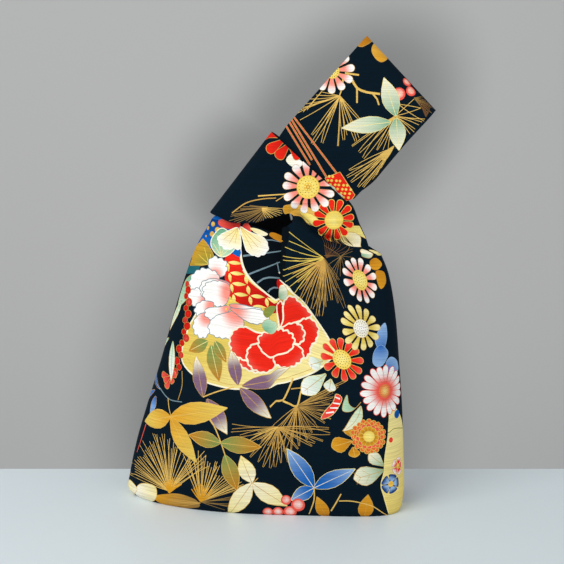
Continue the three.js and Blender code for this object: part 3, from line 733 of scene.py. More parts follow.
def ruffled(places, heart, inner, outer, line, line_width, frill, power=2.2):
    """One ruffled peony petal: its edge is scalloped where it faces away from the flower's heart."""
    edge = curved(flat(places), step=1.1, closed=True)
    middle = flat([heart])[0]
    away_from = edge - middle
    distance = np.linalg.norm(away_from, axis=1)
    length = np.concatenate([[0], np.cumsum(np.linalg.norm(np.diff(edge, axis=0), axis=1))])
    waves = max(3, round(length[-1] / 5.2))
    scallop = np.abs(np.sin(length / length[-1] * waves * math.pi)) ** 0.7
    outside = np.clip((distance / distance.max() - 0.35) / 0.3, 0, 1)
    frilled = (scallop - 0.5) * frill * 2 * outside
    edge = edge + away_from / np.maximum(distance, 1e-6)[:, None] * frilled[:, None]
    lay(edge, inner, outer, power=power, round_from=middle, size=distance.max())
    stroke(np.vstack([edge, edge[:1]]), line_width, line_width, line)


def bud(places, inner, outer, line="gold", line_width=0.35):
    """A bud, or another small shape, whose ink fades to another away from its first corner."""
    edge = curved(flat(places), step=1.4, closed=True)
    root = flat([places[0]])[0]
    lay(edge, inner, outer, round_from=root, size=np.linalg.norm(edge - root, axis=1).max())
    if line:
        stroke(np.vstack([edge, edge[:1]]), line_width, line_width, line)


def inside(spot, places):
    """Whether a spot lies within a closed line."""
    hits = 0
    for (x1, y1), (x2, y2) in zip(places, places[1:] + places[:1]):
        if (y1 > spot[1]) != (y2 > spot[1]) and spot[0] < x1 + (spot[1] - y1) / (y2 - y1) * (x2 - x1):
            hits += 1
    return hits % 2 == 1


# the long loop, from its top down
patch([(358, 44), (366, 34), (374, 40), (368, 44)], "amber", "ochre", line="gold")
bud([(381, 62), (372, 47), (379, 44), (387, 57)], "ochre", "bright gold")
needles((340, 96), [(322, 92), (316, 95), (310, 99), (305, 104), (300, 108), (296, 112), (292, 116),
                    (300, 120)], pairs=False)
needles((322, 91), [(303, 112), (307, 110), (311, 104)], pairs=False)
needles((340, 96), [(312, 135), (312, 144), (322, 143), (338, 146), (344, 140), (356, 141), (361, 121)])
needles((340, 96), [(347, 135), (359, 138)], pairs=False)
needles((395, 116), [(352, 146), (359, 152), (363, 158), (377, 150)])
needles((395, 116), [(383, 150), (388, 149), (414, 99), (421, 108), (425, 119), (422, 122), (419, 125),
                     (415, 129), (414, 132), (410, 134), (406, 135)], pairs=False)
needles((398, 104), [(421, 108), (424, 121)], pairs=False)
# needles at the loop's rounded top end: print, but drawn in darker dull gold and brown as painted shade
spread((414, 98), [(424, 97), (432, 105), (434, 110), (428, 116)], 12, "dull gold")
spread((426, 117), [(416, 97), (424, 99), (430, 104)], 8, "brown")
needles((392, 148), [(349, 170), (347, 177), (351, 182), (358, 187), (363, 187)])
needles((392, 148), [(355, 176), (361, 181), (370, 183), (376, 176), (381, 168)], pairs=False)
spread((394, 146), [(378, 156), (380, 160), (386, 160)], 7, "bright gold", 0.9)
for start, end in (((283, 121), (310, 165)), ((287, 118), (312, 160)), ((290, 117), (327, 178)),
                   ((293, 116), (338, 175))):
    branch([start, mix(np.array(start), np.array(end), 0.5), end], 1.5, 1.5, "gold")
    branch([start, mix(np.array(start), np.array(end), 0.5), end], 0.7, 0.7, "rose")
branch([(347, 75), (352, 80), (357, 88), (366, 92), (380, 94)], 1.9, 1.6, "bright gold")
branch([(345, 73), (352, 74), (359, 75)], 1.5, 1.3, "bright gold")
branch([(357, 88), (357, 96), (357, 103)], 1.3, 1.2, "bright gold")
branch([(373, 94), (377, 99), (379, 105)], 1.3, 1.2, "bright gold")
branch([(343, 79), (342, 88), (339, 97)], 1.2, 0.9, "bright gold")
for place, size in (((407, 82), 3.7), ((411, 91), 4.0), ((399, 94), 4.8)):
    berry(place, size)
leaf((396, 116), (384, 78), 12.5, "green", "ivory", vein="cream", line="cream", power=0.7)
leaf((391, 122), (342, 128), 12, "green", "ivory", vein="cream", line="cream", power=0.7)
leaf((396, 118), (399, 150), 12, "green", "ivory", vein="cream", line="cream", power=0.7)
kanoko = [(325, 178), (340, 172), (355, 195), (347, 206), (334, 196)]
patch(kanoko, "red", line="bright gold", smoothed=False)
for i in range(9):
    for j in range(8):
        spot = (322 + 3.6 * i - 1.2 * j, 172 + 2.2 * i + 4.0 * j - 4 * (i % 2) * 0.5)
        if inside(spot, kanoko):
            dot(spot, 1.05, "cream", "yellow", corners=8)
bud([(326, 184), (334, 187), (337, 192), (343, 196), (335, 198)], "pale green", "ivory", line=None)
flower((332, 71), 16.5, 11, "pink", "white", turn=8, eye_size=0.33)

# the short band
on = "band"
spread((268, 207), [(245, 205), (232, 211), (226, 219), (238, 223), (252, 226), (262, 224)], 18,
       "dull gold")
spread((262, 208), [(266, 218), (275, 221), (284, 216), (288, 209)], 9, "bright gold")
branch([(232, 213), (246, 203), (262, 199), (276, 198)], 0.9, 0.7)
branch([(258, 196), (272, 195), (288, 194)], 1.0, 0.8, "bright gold")
branch([(276, 201), (281, 198), (286, 194)], 0.7, 0.6)
flower((214, 204), 12, 10, "ochre", "pale yellow", eye="orange", eye_size=0.3, width=0.95)
bud([(232, 178), (236, 170), (243, 164), (240, 172)], "ochre", "bright gold")
bud([(284, 206), (300, 205), (314, 211), (316, 221), (309, 223), (300, 216), (286, 215)], "ochre",
    "bright gold")
bud([(300, 212), (311, 214), (320, 222), (314, 226), (306, 221)], "yellow", "pale yellow")
bud([(340, 232), (352, 226), (364, 228), (371, 241), (360, 236), (350, 238)], "sand", "pale yellow")
bud([(338, 236), (350, 232), (360, 236), (360, 245), (354, 250), (346, 246)], "sand", "ivory")
bud([(286, 160), (291, 154), (297, 158), (303, 163), (298, 168), (291, 166)], "ivory", "white", line=None)
for start, end, wide in (((282, 137), (264, 140), 7), ((284, 140), (267, 151), 8),
                         ((289, 144), (277, 158), 8), ((290, 147), (299, 159), 6)):
    leaf(start, end, wide, "deep red", "red", profile=round_petal, vein=None, power=0.6)
spread((334, 222), [(318, 236), (328, 246), (342, 250), (352, 246)], 14, "dull gold")
flower((334, 220), 15.5, 12, "red", "red", eye="pale yellow", eye_size=0.45, turn=10, line="sand",
       line_width=0.4, dots=None)
flower((308, 187), 20, 13, "pink", "white", eye_size=0.43, turn=12)
dot((308, 187), 3.6, "amber", "yellow")
for k in range(7):
    disc(flat([(308, 187)])[0] + 2.2 * (k > 0) * np.array([math.cos(k), math.sin(k)]), 0.55,
         "pale yellow", corners=6)


def print_wall():
    """The wall's print: the cream fan, a dark painted shade by the pleat, then what lies over them."""
    patch([(186, 335), (182, 360), (196, 377), (215, 385), (235, 389), (262, 387), (290, 381), (312, 373),
           (333, 356), (331, 343), (320, 325), (306, 305), (294, 294), (284, 284), (279, 272), (250, 268),
           (230, 280), (205, 300)], "sand", "cream", (225, 340), (262, 392), line="ivory", line_width=1.2)
    branch([(187, 358), (199, 373), (216, 381), (235, 385), (262, 383), (289, 377), (311, 369),
            (330, 354)], 0.35, 0.35, "gold")
    # painted shade: the ground's navy made darker under the band beside the pleat, also on the back's repeats
    patch([(240, 228), (240, 245), (241, 260), (247, 275), (257, 287), (268, 294), (279, 300), (284, 280),
           (286, 250), (284, 226)], "night")
    patch([(224, 261), (229, 254), (240, 257), (242, 268), (247, 279), (257, 288), (268, 295), (282, 300),
           (282, 310), (264, 309), (249, 308), (234, 300), (227, 292), (225, 280)], "red", "deep red",
          (235, 262), (270, 310))
    shippo = [(224, 261), (229, 254), (240, 257), (242, 268), (247, 279), (257, 288), (268, 295),
              (281, 300), (281, 309), (264, 308), (249, 306), (234, 300), (227, 292), (225, 280)]
    for i in range(-1, 5):
        for j in range(-1, 6):
            node = np.array([227 + 16.5 * i + 2.0 * j, 262 + 2.0 * i + 10.5 * j])
            for way in (np.array([16.5, 2.0]), np.array([2.0, 10.5])):
                if inside(node + way * 0.5, shippo):
                    a, b = flat([tuple(node + way * 0.07), tuple(node + way * 0.93)])
                    lay(petal_edge(a, b, 2.9, long_leaf), "pale yellow", "sand", a, b)
    for a, b in (((243, 256), (281, 251)), ((247, 275), (280, 262)), ((257, 283), (280, 272)),
                 ((268, 292), (280, 283))):
        branch([a, mix(np.array(a), np.array(b), 0.5), b], 1.5, 0.9, "grey blue")
    branch([(239, 236), (240, 246), (241, 258), (244, 269), (251, 280), (262, 290), (280, 299)], 1.9, 1.1,
           "ivory")
    branch([(279, 272), (281, 281), (288, 289), (295, 295), (306, 305), (320, 325), (333, 345)], 1.0, 1.1,
           "ivory")
    branch([(277, 262), (279, 272)], 0.8, 0.8, "grey blue")
    bud([(278, 288), (279, 279), (282, 283), (282, 289)], "deep red", "red", line=None)
    bud([(279, 298), (279, 289), (284, 285), (288, 293), (284, 300)], "green", "ivory")
    # the blue fan and the leaves at the left shoulder
    patch([(222, 214), (206, 214), (200, 226), (194, 240), (204, 247), (214, 248), (222, 236),
           (232, 226)], "deep blue", "blue", (210, 220), (205, 245))
    patch([(231, 252), (234, 247), (240, 248), (240, 257)], "blue")
    for place, size in (((213, 224), 1.9), ((217.5, 230), 2.3), ((212, 234), 2.0), ((208, 228), 1.4),
                        ((206, 236), 0.8), ((203, 240), 1.0)):
        dot(place, size, "yellow", "gold", corners=12)
    bud([(222, 257), (212, 248), (212, 238), (222, 228), (234, 238), (234, 250)], "pale green", "green",
        line="ivory", line_width=0.7)
    for tip in ((213, 243), (217, 235), (226, 240), (231, 247)):
        branch([(221, 256), tip], 0.5, 0.3, "cream")
    for shape in ([(236, 230), (220, 226), (219, 220), (228, 217), (240, 222)],
                  [(242, 228), (245, 233), (250, 234), (251, 228), (246, 222)]):
        bud(shape, "deep red", "rose", line=None)
    for heart, shape in (
            ((238, 228), [(238, 228), (230, 230), (219, 236), (219, 243), (226, 249), (234, 248),
                          (240, 249), (241, 240)]),
            ((240, 227), [(240, 227), (243, 240), (247, 251), (256, 256), (264, 254), (268, 248),
                          (264, 238), (250, 232)])):
        ruffled(shape, heart, "cream", "white", "white", 0.5, frill=0.6)
        for share in (0.25, 0.45, 0.65):
            tip = shape[2 + int(share * (len(shape) - 3))]
            branch([heart, mix(np.array(heart), np.array(tip), 0.75)], 0.35, 0.3, "gold")
    bud([(250, 228), (258, 229), (268, 234), (262, 236), (254, 232)], "cream", "ivory", line=None)
    bud([(270, 233), (280, 235), (283, 241), (274, 239)], "amber", "ochre", line=None)
    branch([(266, 240), (272, 240), (280, 242)], 0.9, 0.6, "grey blue")
    bud([(209, 264), (190, 266), (192, 258), (194, 250), (199, 243), (203, 239), (210, 248), (214, 258)],
        "olive", "ochre")
    for tip in ((191, 264), (196, 252), (203, 243), (211, 252)):
        branch([(209, 264), mix(np.array((209, 264)), np.array(tip), 0.8)], 0.5, 0.3, "yellow")
    patch([(186, 266), (200, 266), (199, 272), (186, 273)], "teal")
    bud([(196, 274), (187, 278), (181, 292), (178, 306), (186, 300), (192, 286)], "green", "pale green")
    # the white peony
    for heart, shape in (
            ((214, 276), [(214, 274), (209, 268), (209, 261), (214, 257), (221, 259), (226, 263),
                          (226, 272), (221, 277)]),
            ((216, 290), [(218, 288), (208, 292), (196, 293), (190, 286), (192, 276), (201, 269),
                          (211, 270), (219, 276)]),
            ((208, 302), [(208, 300), (200, 306), (191, 304), (189, 295), (194, 289), (203, 290)]),
            ((226, 284), [(228, 286), (216, 300), (207, 300), (201, 292), (202, 283), (211, 279),
                          (222, 280), (229, 283)]),
            ((230, 292), [(230, 292), (226, 304), (217, 306), (207, 302), (203, 292), (206, 284),
                          (216, 281), (228, 284)]),
            ((212, 306), [(214, 304), (209, 316), (199, 317), (195, 309), (200, 302), (208, 301)]),
            ((208, 316), [(210, 314), (210, 330), (203, 338), (195, 333), (194, 322), (200, 314)]),
            ((230, 306), [(231, 306), (222, 318), (211, 319), (205, 314), (208, 308), (218, 307)]),
            ((236, 310), [(236, 309), (229, 312), (216, 316), (209, 325), (213, 335), (226, 338),
                          (238, 334), (244, 322)]),
            ((229, 305), [(229, 305), (238, 304), (252, 307), (262, 309), (250, 312), (238, 310)]),
            ((230, 308), [(230, 308), (244, 309), (256, 309), (268, 314), (266, 321), (256, 324),
                          (246, 321), (236, 314)])):
        ruffled(shape, heart, "pink", "white", "grey blue", 0.55, frill=1.0, power=(0.2, 0.62))
    for place in ((228, 305), (231, 301), (226, 309)):
        dot(place, 0.9, "moss", "yellow", corners=8)
    # the red peony
    for heart, shape, inner in (
            ((281, 330), [(280, 331), (278, 318), (277, 306), (281, 302), (284, 308), (284, 320)],
             "deep red"),
            ((262, 345), [(250, 362), (240, 357), (240, 364), (247, 369), (256, 372), (263, 371)], "red"),
            ((280, 332), [(279, 332), (283, 320), (283, 306), (287, 298), (293, 297), (300, 303),
                          (311, 315), (304, 320), (292, 324)], "red"),
            ((296, 340), [(296, 342), (297, 326), (302, 320), (311, 319), (318, 328), (316, 340),
                          (311, 346), (309, 354), (303, 358), (300, 350)], "red"),
            ((272, 340), [(268, 336), (256, 332), (245, 327), (235, 330), (230, 341), (232, 351),
                          (240, 358), (250, 360), (254, 350)], "red"),
            ((281, 340), [(279, 332), (287, 325), (298, 324), (304, 332), (302, 341), (294, 343)], "red"),
            ((272, 346), [(262, 344), (251, 346), (247, 356), (251, 367), (261, 372), (272, 369),
                          (278, 362), (274, 350)], "red"),
            ((280, 344), [(274, 355), (284, 348), (294, 344), (302, 350), (302, 359), (293, 366),
                          (282, 367), (275, 363)], "red"),
            ((276, 350), [(258, 341), (264, 333), (275, 331), (288, 332), (294, 340), (289, 351),
                          (275, 356), (263, 352)], "red")):
        ruffled(shape, heart, inner, "red" if inner == "deep red" else "rose", "ivory", 1.3, frill=0.8,
                power=(0.72, 1.1))
    bud([(265, 331), (262, 324), (268, 319), (276, 322), (276, 331)], "green", "pale green")
    bud([(274, 312), (267, 318), (263, 312), (270, 306), (276, 306)], "moss", "olive", line=None)
    # leaves, berries and stems on the left
    for start, end, wide in (((208, 341), (189, 351), 10), ((211, 345), (219, 381), 12),
                             ((215, 341), (226, 362), 9)):
        leaf(start, end, wide, "moss", "amber", vein="cream", power=1.4)
    for k, place in enumerate([(187, 284), (188, 290), (186, 296), (189, 302), (186, 308), (188, 314),
                               (185, 320), (187, 326), (184, 332), (186, 338), (182, 343), (179, 349),
                               (181, 355), (177, 361), (179, 367), (175, 372)]):
        dot(place, 2.3 + 0.6 * (k % 2), "rose" if k % 3 == 0 else "red", "deep red", corners=12,
            line=0.25)
    for tip in ((162, 374), (166, 388), (173, 383), (176, 374), (164, 381)):
        leaf((170, 377), tip, 4.6, "deep red", "rose", profile=round_petal, vein=None)
    leaf((173, 341), (171, 381), 6.5, "pale green", "white", vein="green")
    leaf((169, 338), (157, 361), 6, "pale green", "ivory", vein="green")
    leaf((182, 300), (170, 330), 6, "pale green", "ivory", vein="green")
    leaf((160, 389), (158, 358), 6, "deep blue", "pale blue", vein="pale blue")
    leaf((155, 390), (147, 402), 5, "blue", "pale blue", vein=None)
    leaf((156, 396), (150, 415), 6, "blue", "pale blue", vein=None)
    branch([(160, 388), (169, 399), (182, 402)], 1.0, 0.7, "grey blue")
    branch([(182, 371), (182, 386), (178, 400)], 0.6, 0.5)
    branch([(146, 424), (141, 440), (137, 452)], 0.9, 0.7, "rose")
    # mauve leaves over the fan's lower edge
    leaf((207, 399), (227, 434), 14, "mauve", "ivory", power=(0.5, 1.0))
    for start, end, wide in (((203, 397), (196, 356), 11.5), ((238, 385), (231, 350), 10.5),
                             ((242, 386), (290, 367), 10), ((240, 388), (271, 418), 12)):
        leaf(start, end, wide, "mauve", "ivory", power=(0.45, 1.0))
    branch([(203, 397), (216, 392), (234, 387)], 0.9, 0.8, "bright gold")
    branch([(205, 412), (214, 426), (221, 443), (225, 455)], 1.1, 0.9, "bright gold")
    branch([(168, 398), (169, 408), (171, 416)], 0.8, 0.7, "bright gold")
    # pine at the lower left
    bud([(154, 497), (166, 494), (180, 494), (196, 500), (199, 507), (182, 508), (164, 505)], "ochre",
        "dull gold", line=None)
    spread((169, 491), [(129, 474), (131, 462), (135, 451), (142, 443), (149, 436), (157, 434),
                        (169, 436), (178, 444)], 32, width=0.62)
    spread((169, 491), [(178, 446), (188, 458), (198, 449), (208, 455), (212, 464)], 12, width=0.6)
    spread((169, 493), [(164, 482), (172, 478), (182, 484)], 10, "ochre", 1.1)
    spread((201, 502), [(181, 456), (192, 452), (203, 452), (215, 459), (220, 468), (229, 479),
                        (240, 482), (247, 486)], 32, width=0.62)
    spread((201, 502), [(190, 487), (202, 482), (214, 492)], 10, "ochre", 1.1)
    spread((201, 502), [(248, 488), (252, 498), (246, 506), (225, 510)], 8, "dull gold")
    spread((201, 503), [(166, 498), (160, 502), (172, 508)], 7, "gold")
    for shape in ([(156, 488), (150, 484), (140, 484), (135, 491), (140, 499), (150, 502), (156, 498)],
                  [(129, 480), (134, 484), (136, 492), (132, 494), (127, 488)]):
        bud(shape, "cream", "white", line="bright gold", line_width=0.5)
    # pine in the middle
    needles((297, 406), [(262, 440), (268, 446), (276, 452), (284, 452), (291, 450), (299, 446),
                         (307, 440)], "gold")
    needles((297, 406), [(345, 381), (338, 386), (331, 390), (333, 397), (330, 404), (327, 411),
                         (331, 419), (325, 423), (318, 428), (312, 433)], "gold", 0.5)
    spread((297, 406), [(340, 384), (334, 400), (328, 416), (310, 434)], 13, "dull gold", 0.4)
    needles((278, 427), [(232, 424), (232, 429), (231, 432)], "gold", pairs=False)
    needles((278, 427), [(240, 436), (246, 443), (250, 457), (258, 462), (263, 467), (270, 468),
                         (275, 467), (281, 463), (288, 462), (298, 449), (312, 446), (315, 443),
                         (323, 441), (330, 434), (329, 428)], "gold")
    spread((278, 427), [(255, 432), (250, 440), (262, 446)], 7, "bright gold", 0.5)
    branch([(270, 407), (276, 401), (283, 400), (290, 386), (293, 378)], 1.5, 1.3, "bright gold")
    branch([(283, 401), (290, 404), (297, 406), (301, 391)], 1.4, 1.2, "bright gold")
    branch([(291, 389), (300, 388), (308, 386)], 0.9, 0.8, "gold")
    # trios of leaves
    for node, tips, inner, outer, vein in (
            ((170.5, 416.5), [(145, 421, 14), (227, 408, 16), (196, 462, 14)], "ochre", "sand",
             "bright gold"),
            ((220.5, 443), [(189, 435, 12), (261, 447, 13)], "moss", "amber", "bright gold"),
            ((225, 455), [(237, 490, 13)], "moss", "amber", "bright gold"),
            ((252, 483), [(241, 456, 13), (287, 506, 15), (228, 515, 14)], "ivory", "cream", "gold")):
        for x, y, wide in tips:
            leaf(node, (x, y), wide, inner, outer, vein=vein, line="bright gold")
    for x, y, wide in ((287, 449, 14.5), (355, 469, 13), (291, 500, 11)):
        leaf((314, 488), (x, y), wide, "blue", "pale blue", vein="ivory", line="cream", power=2.2)
    branch([(314, 488), (314, 500), (309, 514)], 1.0, 0.8, "bright gold")
    branch([(253, 483), (258, 478)], 0.8, 0.7, "gold")
    for place, size in (((268, 512), 4.2), ((278, 512), 4.4), ((286, 500), 4.0), ((290, 512), 5.2),
                        ((298, 505), 5.4)):
        berry(place, size, middle="white")
    leaf((327, 518), (317, 497), 9.5, "amber", "ochre")
    leaf((364, 518), (368, 495), 11.5, "amber", "ochre")
    branch([(331, 511), (336, 503), (341, 494)], 1.2, 1.0, "bright gold")
    branch([(339, 501), (350, 501), (361, 503), (374, 507), (389, 516)], 0.9, 0.8, "bright gold")
    # the right side
    patch([(392, 404), (389, 420), (388, 436), (385, 456), (384, 472), (381, 485), (384, 497), (389, 514),
           (404, 516), (410, 480), (410, 404)], "cream", "sand", (388, 440), (405, 500), line="cream",
          line_width=0.8)
    dot((397, 414), 3.6, "deep blue", "blue")
    dot((391, 440), 2.2, "rose", "red")
    branch([(388, 433), (398, 428), (404, 424)], 0.7, 0.6, "olive")
    flower((398, 466), 7, 5, "red", "white", eye="red", eye_size=0.3, width=0.9, line="deep red",
           dots=None)
    flower((391, 484), 7.5, 5, "pale blue", "deep blue", eye="red", eye_size=0.32, width=0.95,
           line="deep blue", dots=None, line_width=0.7)
    spread((326, 258), [(324, 228), (336, 228), (350, 234), (360, 246)], 9, "brown", 0.4)
    spread((341, 256), [(322, 244), (326, 276), (338, 282), (350, 262), (356, 244)], 12, "dull gold",
           0.35)
    needles((324, 258), [(289, 232), (289, 241), (285, 247), (283, 256), (283, 260), (283, 270),
                         (283, 276), (285, 282), (288, 288), (294, 294)], "sand", 0.7, pairs=False,
            sway=0.05)
    spread((322, 261), [(286, 270), (288, 283), (296, 292), (304, 286)], 7, "gold", 0.7, short=0.5)
    needles((324, 258), [(300, 300), (306, 305), (312, 309), (317, 316), (321, 316), (325, 307),
                         (332, 300)], "gold")
    needles((324, 258), [(338, 303), (343, 300), (334, 288), (339, 280), (345, 308)], "dull gold")
    spread((324, 260), [(306, 290), (312, 302), (320, 306), (330, 300), (338, 290)], 14, "gold", 0.4)
    bud([(362, 256), (363, 250), (368, 247), (373, 253), (370, 258)], "green", "ivory")
    bud([(373, 248), (378, 248), (381, 254), (377, 255)], "sand", "cream", line=None)
    bud([(370, 261), (376, 258), (382, 264), (377, 270), (371, 268)], "amber", "ochre", line=None)
    bud([(376, 271), (384, 272), (386, 282), (381, 289), (377, 281)], "amber", "ochre", line=None)
    flower((360, 280), 20, 12, "pink", "white", eye_size=0.44, turn=14, narrow=0.7)
    for shape in ([(381, 352), (375, 340), (379, 330), (385, 323), (387, 334), (385, 346)],
                  [(381, 345), (374, 352), (373, 363), (379, 367), (385, 362), (388, 352)],
                  [(388, 372), (386, 363), (391, 357), (397, 361), (398, 370)]):
        bud(shape, "blue", "pale blue", line="pale blue")
    for start, end, wide in (((323, 361), (309, 365), 10), ((326, 374), (302, 393), 12.5),
                             ((331, 379), (329, 391), 9)):
        leaf(start, end, wide, "pale green", "white", profile=spoon_leaf, vein="gold", line="cream",
             ribs=2)
    flower((342, 359.5), 17.5, 12, "red", "rose", eye="pale yellow", eye_size=0.44, turn=5, line="sand",
           line_width=0.3, narrow=0.92, power=3.0, dots="brown")
    flower((361.5, 328.5), 18.5, 13, "sand", "cream", eye="white", eye_rim="ivory", eye_size=0.4, turn=4,
           narrow=0.88, dots="brown")
    for start, end, wide in (((352, 441), (332, 447), 12), ((353, 447), (355, 457), 8.5),
                             ((352, 437), (346, 427), 6.5)):
        leaf(start, end, wide, "amber", "ochre", profile=spoon_leaf, vein="bright gold",
             line="bright gold")
    leaf((384, 470), (354, 479), 16, "green", "ivory", profile=spoon_leaf, power=0.7, ribs=3)
    leaf((384, 466), (369, 454), 10, "green", "ivory", profile=spoon_leaf, power=0.7)
    leaf((361, 406), (343, 431), 8, "pale green", "ivory", bend=0.12)
    bud([(361, 402), (355, 408), (349, 404), (347, 395), (343, 404), (343, 411), (352, 411)], "green",
        "pale green")
    bud([(338, 408), (342, 398), (336, 394), (333, 402), (325, 411), (321, 419), (331, 416)], "red",
        "rose", line="cream")
    for a, b in (((340, 399), (335, 397)), ((340, 404), (333, 403)), ((338, 408), (330, 408)),
                 ((334, 412), (326, 413))):
        branch([a, b], 1.3, 0.9, "white")
    flower((385, 391), 21, 18, "rose", "white", eye="pale yellow", eye_rim="orange", eye_size=0.25,
           turn=3, line="rose", width=0.9, line_width=0.45, dots="orange", power=(0.2, 0.7), start=0.16)
    for far, count, one, other in ((1.0, 19, "red", "orange"), (0.86, 17, "red", "orange"),
                                   (0.72, 14, "orange", "rose"), (0.58, 12, "amber", "ochre")):
        flower((369, 436.5), 14 * far, count, one, other, eye="sand", eye_size=0.4, width=1.0,
               line="sand", line_width=0.35, dots=None, turn=far * 90)
    dot((369, 436.5), 4.6, "pale yellow", "yellow", line=0.4)


on = "wall"
print_wall()

# The back, which the picture does not show: the same repeat of the wall's print, set to the side as the cloth
# would bring it round, and flowers, leaves and pine of the same kinds on the loops.
cut = back_cut
for moved in ((-143, 14), (132, -10)):
    print_wall()
moved = (0, 0)
on = "loop"
spread((380, 62), [(352, 66), (352, 84), (366, 100), (386, 104), (404, 92)], 20)
spread((345, 150), [(322, 128), (316, 146), (326, 170), (346, 178)], 18)
branch([(408, 118), (392, 112), (380, 118), (366, 112)], 1.8, 1.4, "bright gold")
branch([(392, 112), (394, 98), (402, 90)], 1.3, 1.0, "bright gold")
branch([(380, 118), (376, 132), (366, 140)], 1.3, 1.0, "bright gold")
for tip in ((336, 84), (334, 116), (368, 118)):
    leaf((350, 104), tip, 12, "green", "ivory", vein="cream", line="cream", power=0.7)
for place, size in (((358, 96), 4.4), ((366, 92), 3.8), ((362, 103), 4.0), ((418, 122), 4.2),
                    ((410, 130), 3.8)):
    berry(place, size)
flower((372, 168), 19, 13, "pink", "white", turn=10)
flower((308, 122), 17, 12, "red", "rose", turn=4, line="sand", line_width=0.3, dots="brown", power=3.0)
flower((398, 142), 15, 12, "sand", "cream", eye="white", eye_rim="ivory", dots="brown", turn=8)
flower((364, 44), 13, 11, "pink", "white", turn=20)
flower((416, 100), 12, 10, "ochre", "pale yellow", eye="orange", eye_size=0.3, width=0.95)
on = "band"
spread((250, 196), [(222, 196), (222, 214), (238, 224), (258, 226), (272, 216)], 22)
spread((330, 206), [(308, 190), (312, 214), (328, 226), (350, 222)], 18, "gold")
for tip in ((262, 152), (292, 164), (268, 186)):
    leaf((272, 168), tip, 12, "mauve", "ivory", power=(0.45, 1.0))
for tip in ((352, 246), (368, 228)):
    leaf((346, 234), tip, 11, "ochre", "sand", vein="bright gold", line="bright gold")
flower((300, 196), 19, 13, "red", "red", eye="pale yellow", eye_size=0.45, line="sand", line_width=0.4)
flower((240, 170), 15, 12, "pink", "white", turn=6)
flower((286, 144), 13, 11, "sand", "cream", eye="white", eye_rim="ivory", dots="brown")
flower((222, 214), 12, 10, "pink", "white", turn=12)


# The outer cloth, front and back: printed cotton backed with stiff fusible cloth, 1.1 mm thick, each half cut
# in one and sewn to the other at the sides, under the base and at the end of each loop. Its flat net is cut
# along the edges of the printed shapes, so that each face holds one ink, and is then laid over the bag.
map_width = 470.0  # the whole pattern's width on its own map


def edge_loop(triangles):
    """The vertices round the free edge of a mesh, in order."""
    sides = np.vstack([triangles[:, [0, 1]], triangles[:, [1, 2]], triangles[:, [2, 0]]])
    both = {(int(a), int(b)) for a, b in sides}
    after = {a: b for a, b in both if (b, a) not in both}
    loop = [next(iter(after))]
    while len(loop) < len(after) and after[loop[-1]] != loop[0]:
        loop.append(after[loop[-1]])
    return np.array(loop)


def wound_round(spots, ring):
    """Whether a closed line winds round each of the spots."""
    a, b = ring, np.roll(ring, -1, axis=0)
    found = []
    for few in np.array_split(spots, len(spots) // 4000 + 1):
        x, y = few[:, :1], few[:, 1:]
        left_of = (b[:, 0] - a[:, 0]) * (y - a[:, 1]) - (x - a[:, 0]) * (b[:, 1] - a[:, 1])
        rising = ((a[:, 1] <= y) & (b[:, 1] > y) & (left_of > 0)).sum(1)
        falling = ((a[:, 1] > y) & (b[:, 1] <= y) & (left_of < 0)).sum(1)
        found.append(rising != falling)
    return np.concatenate(found)


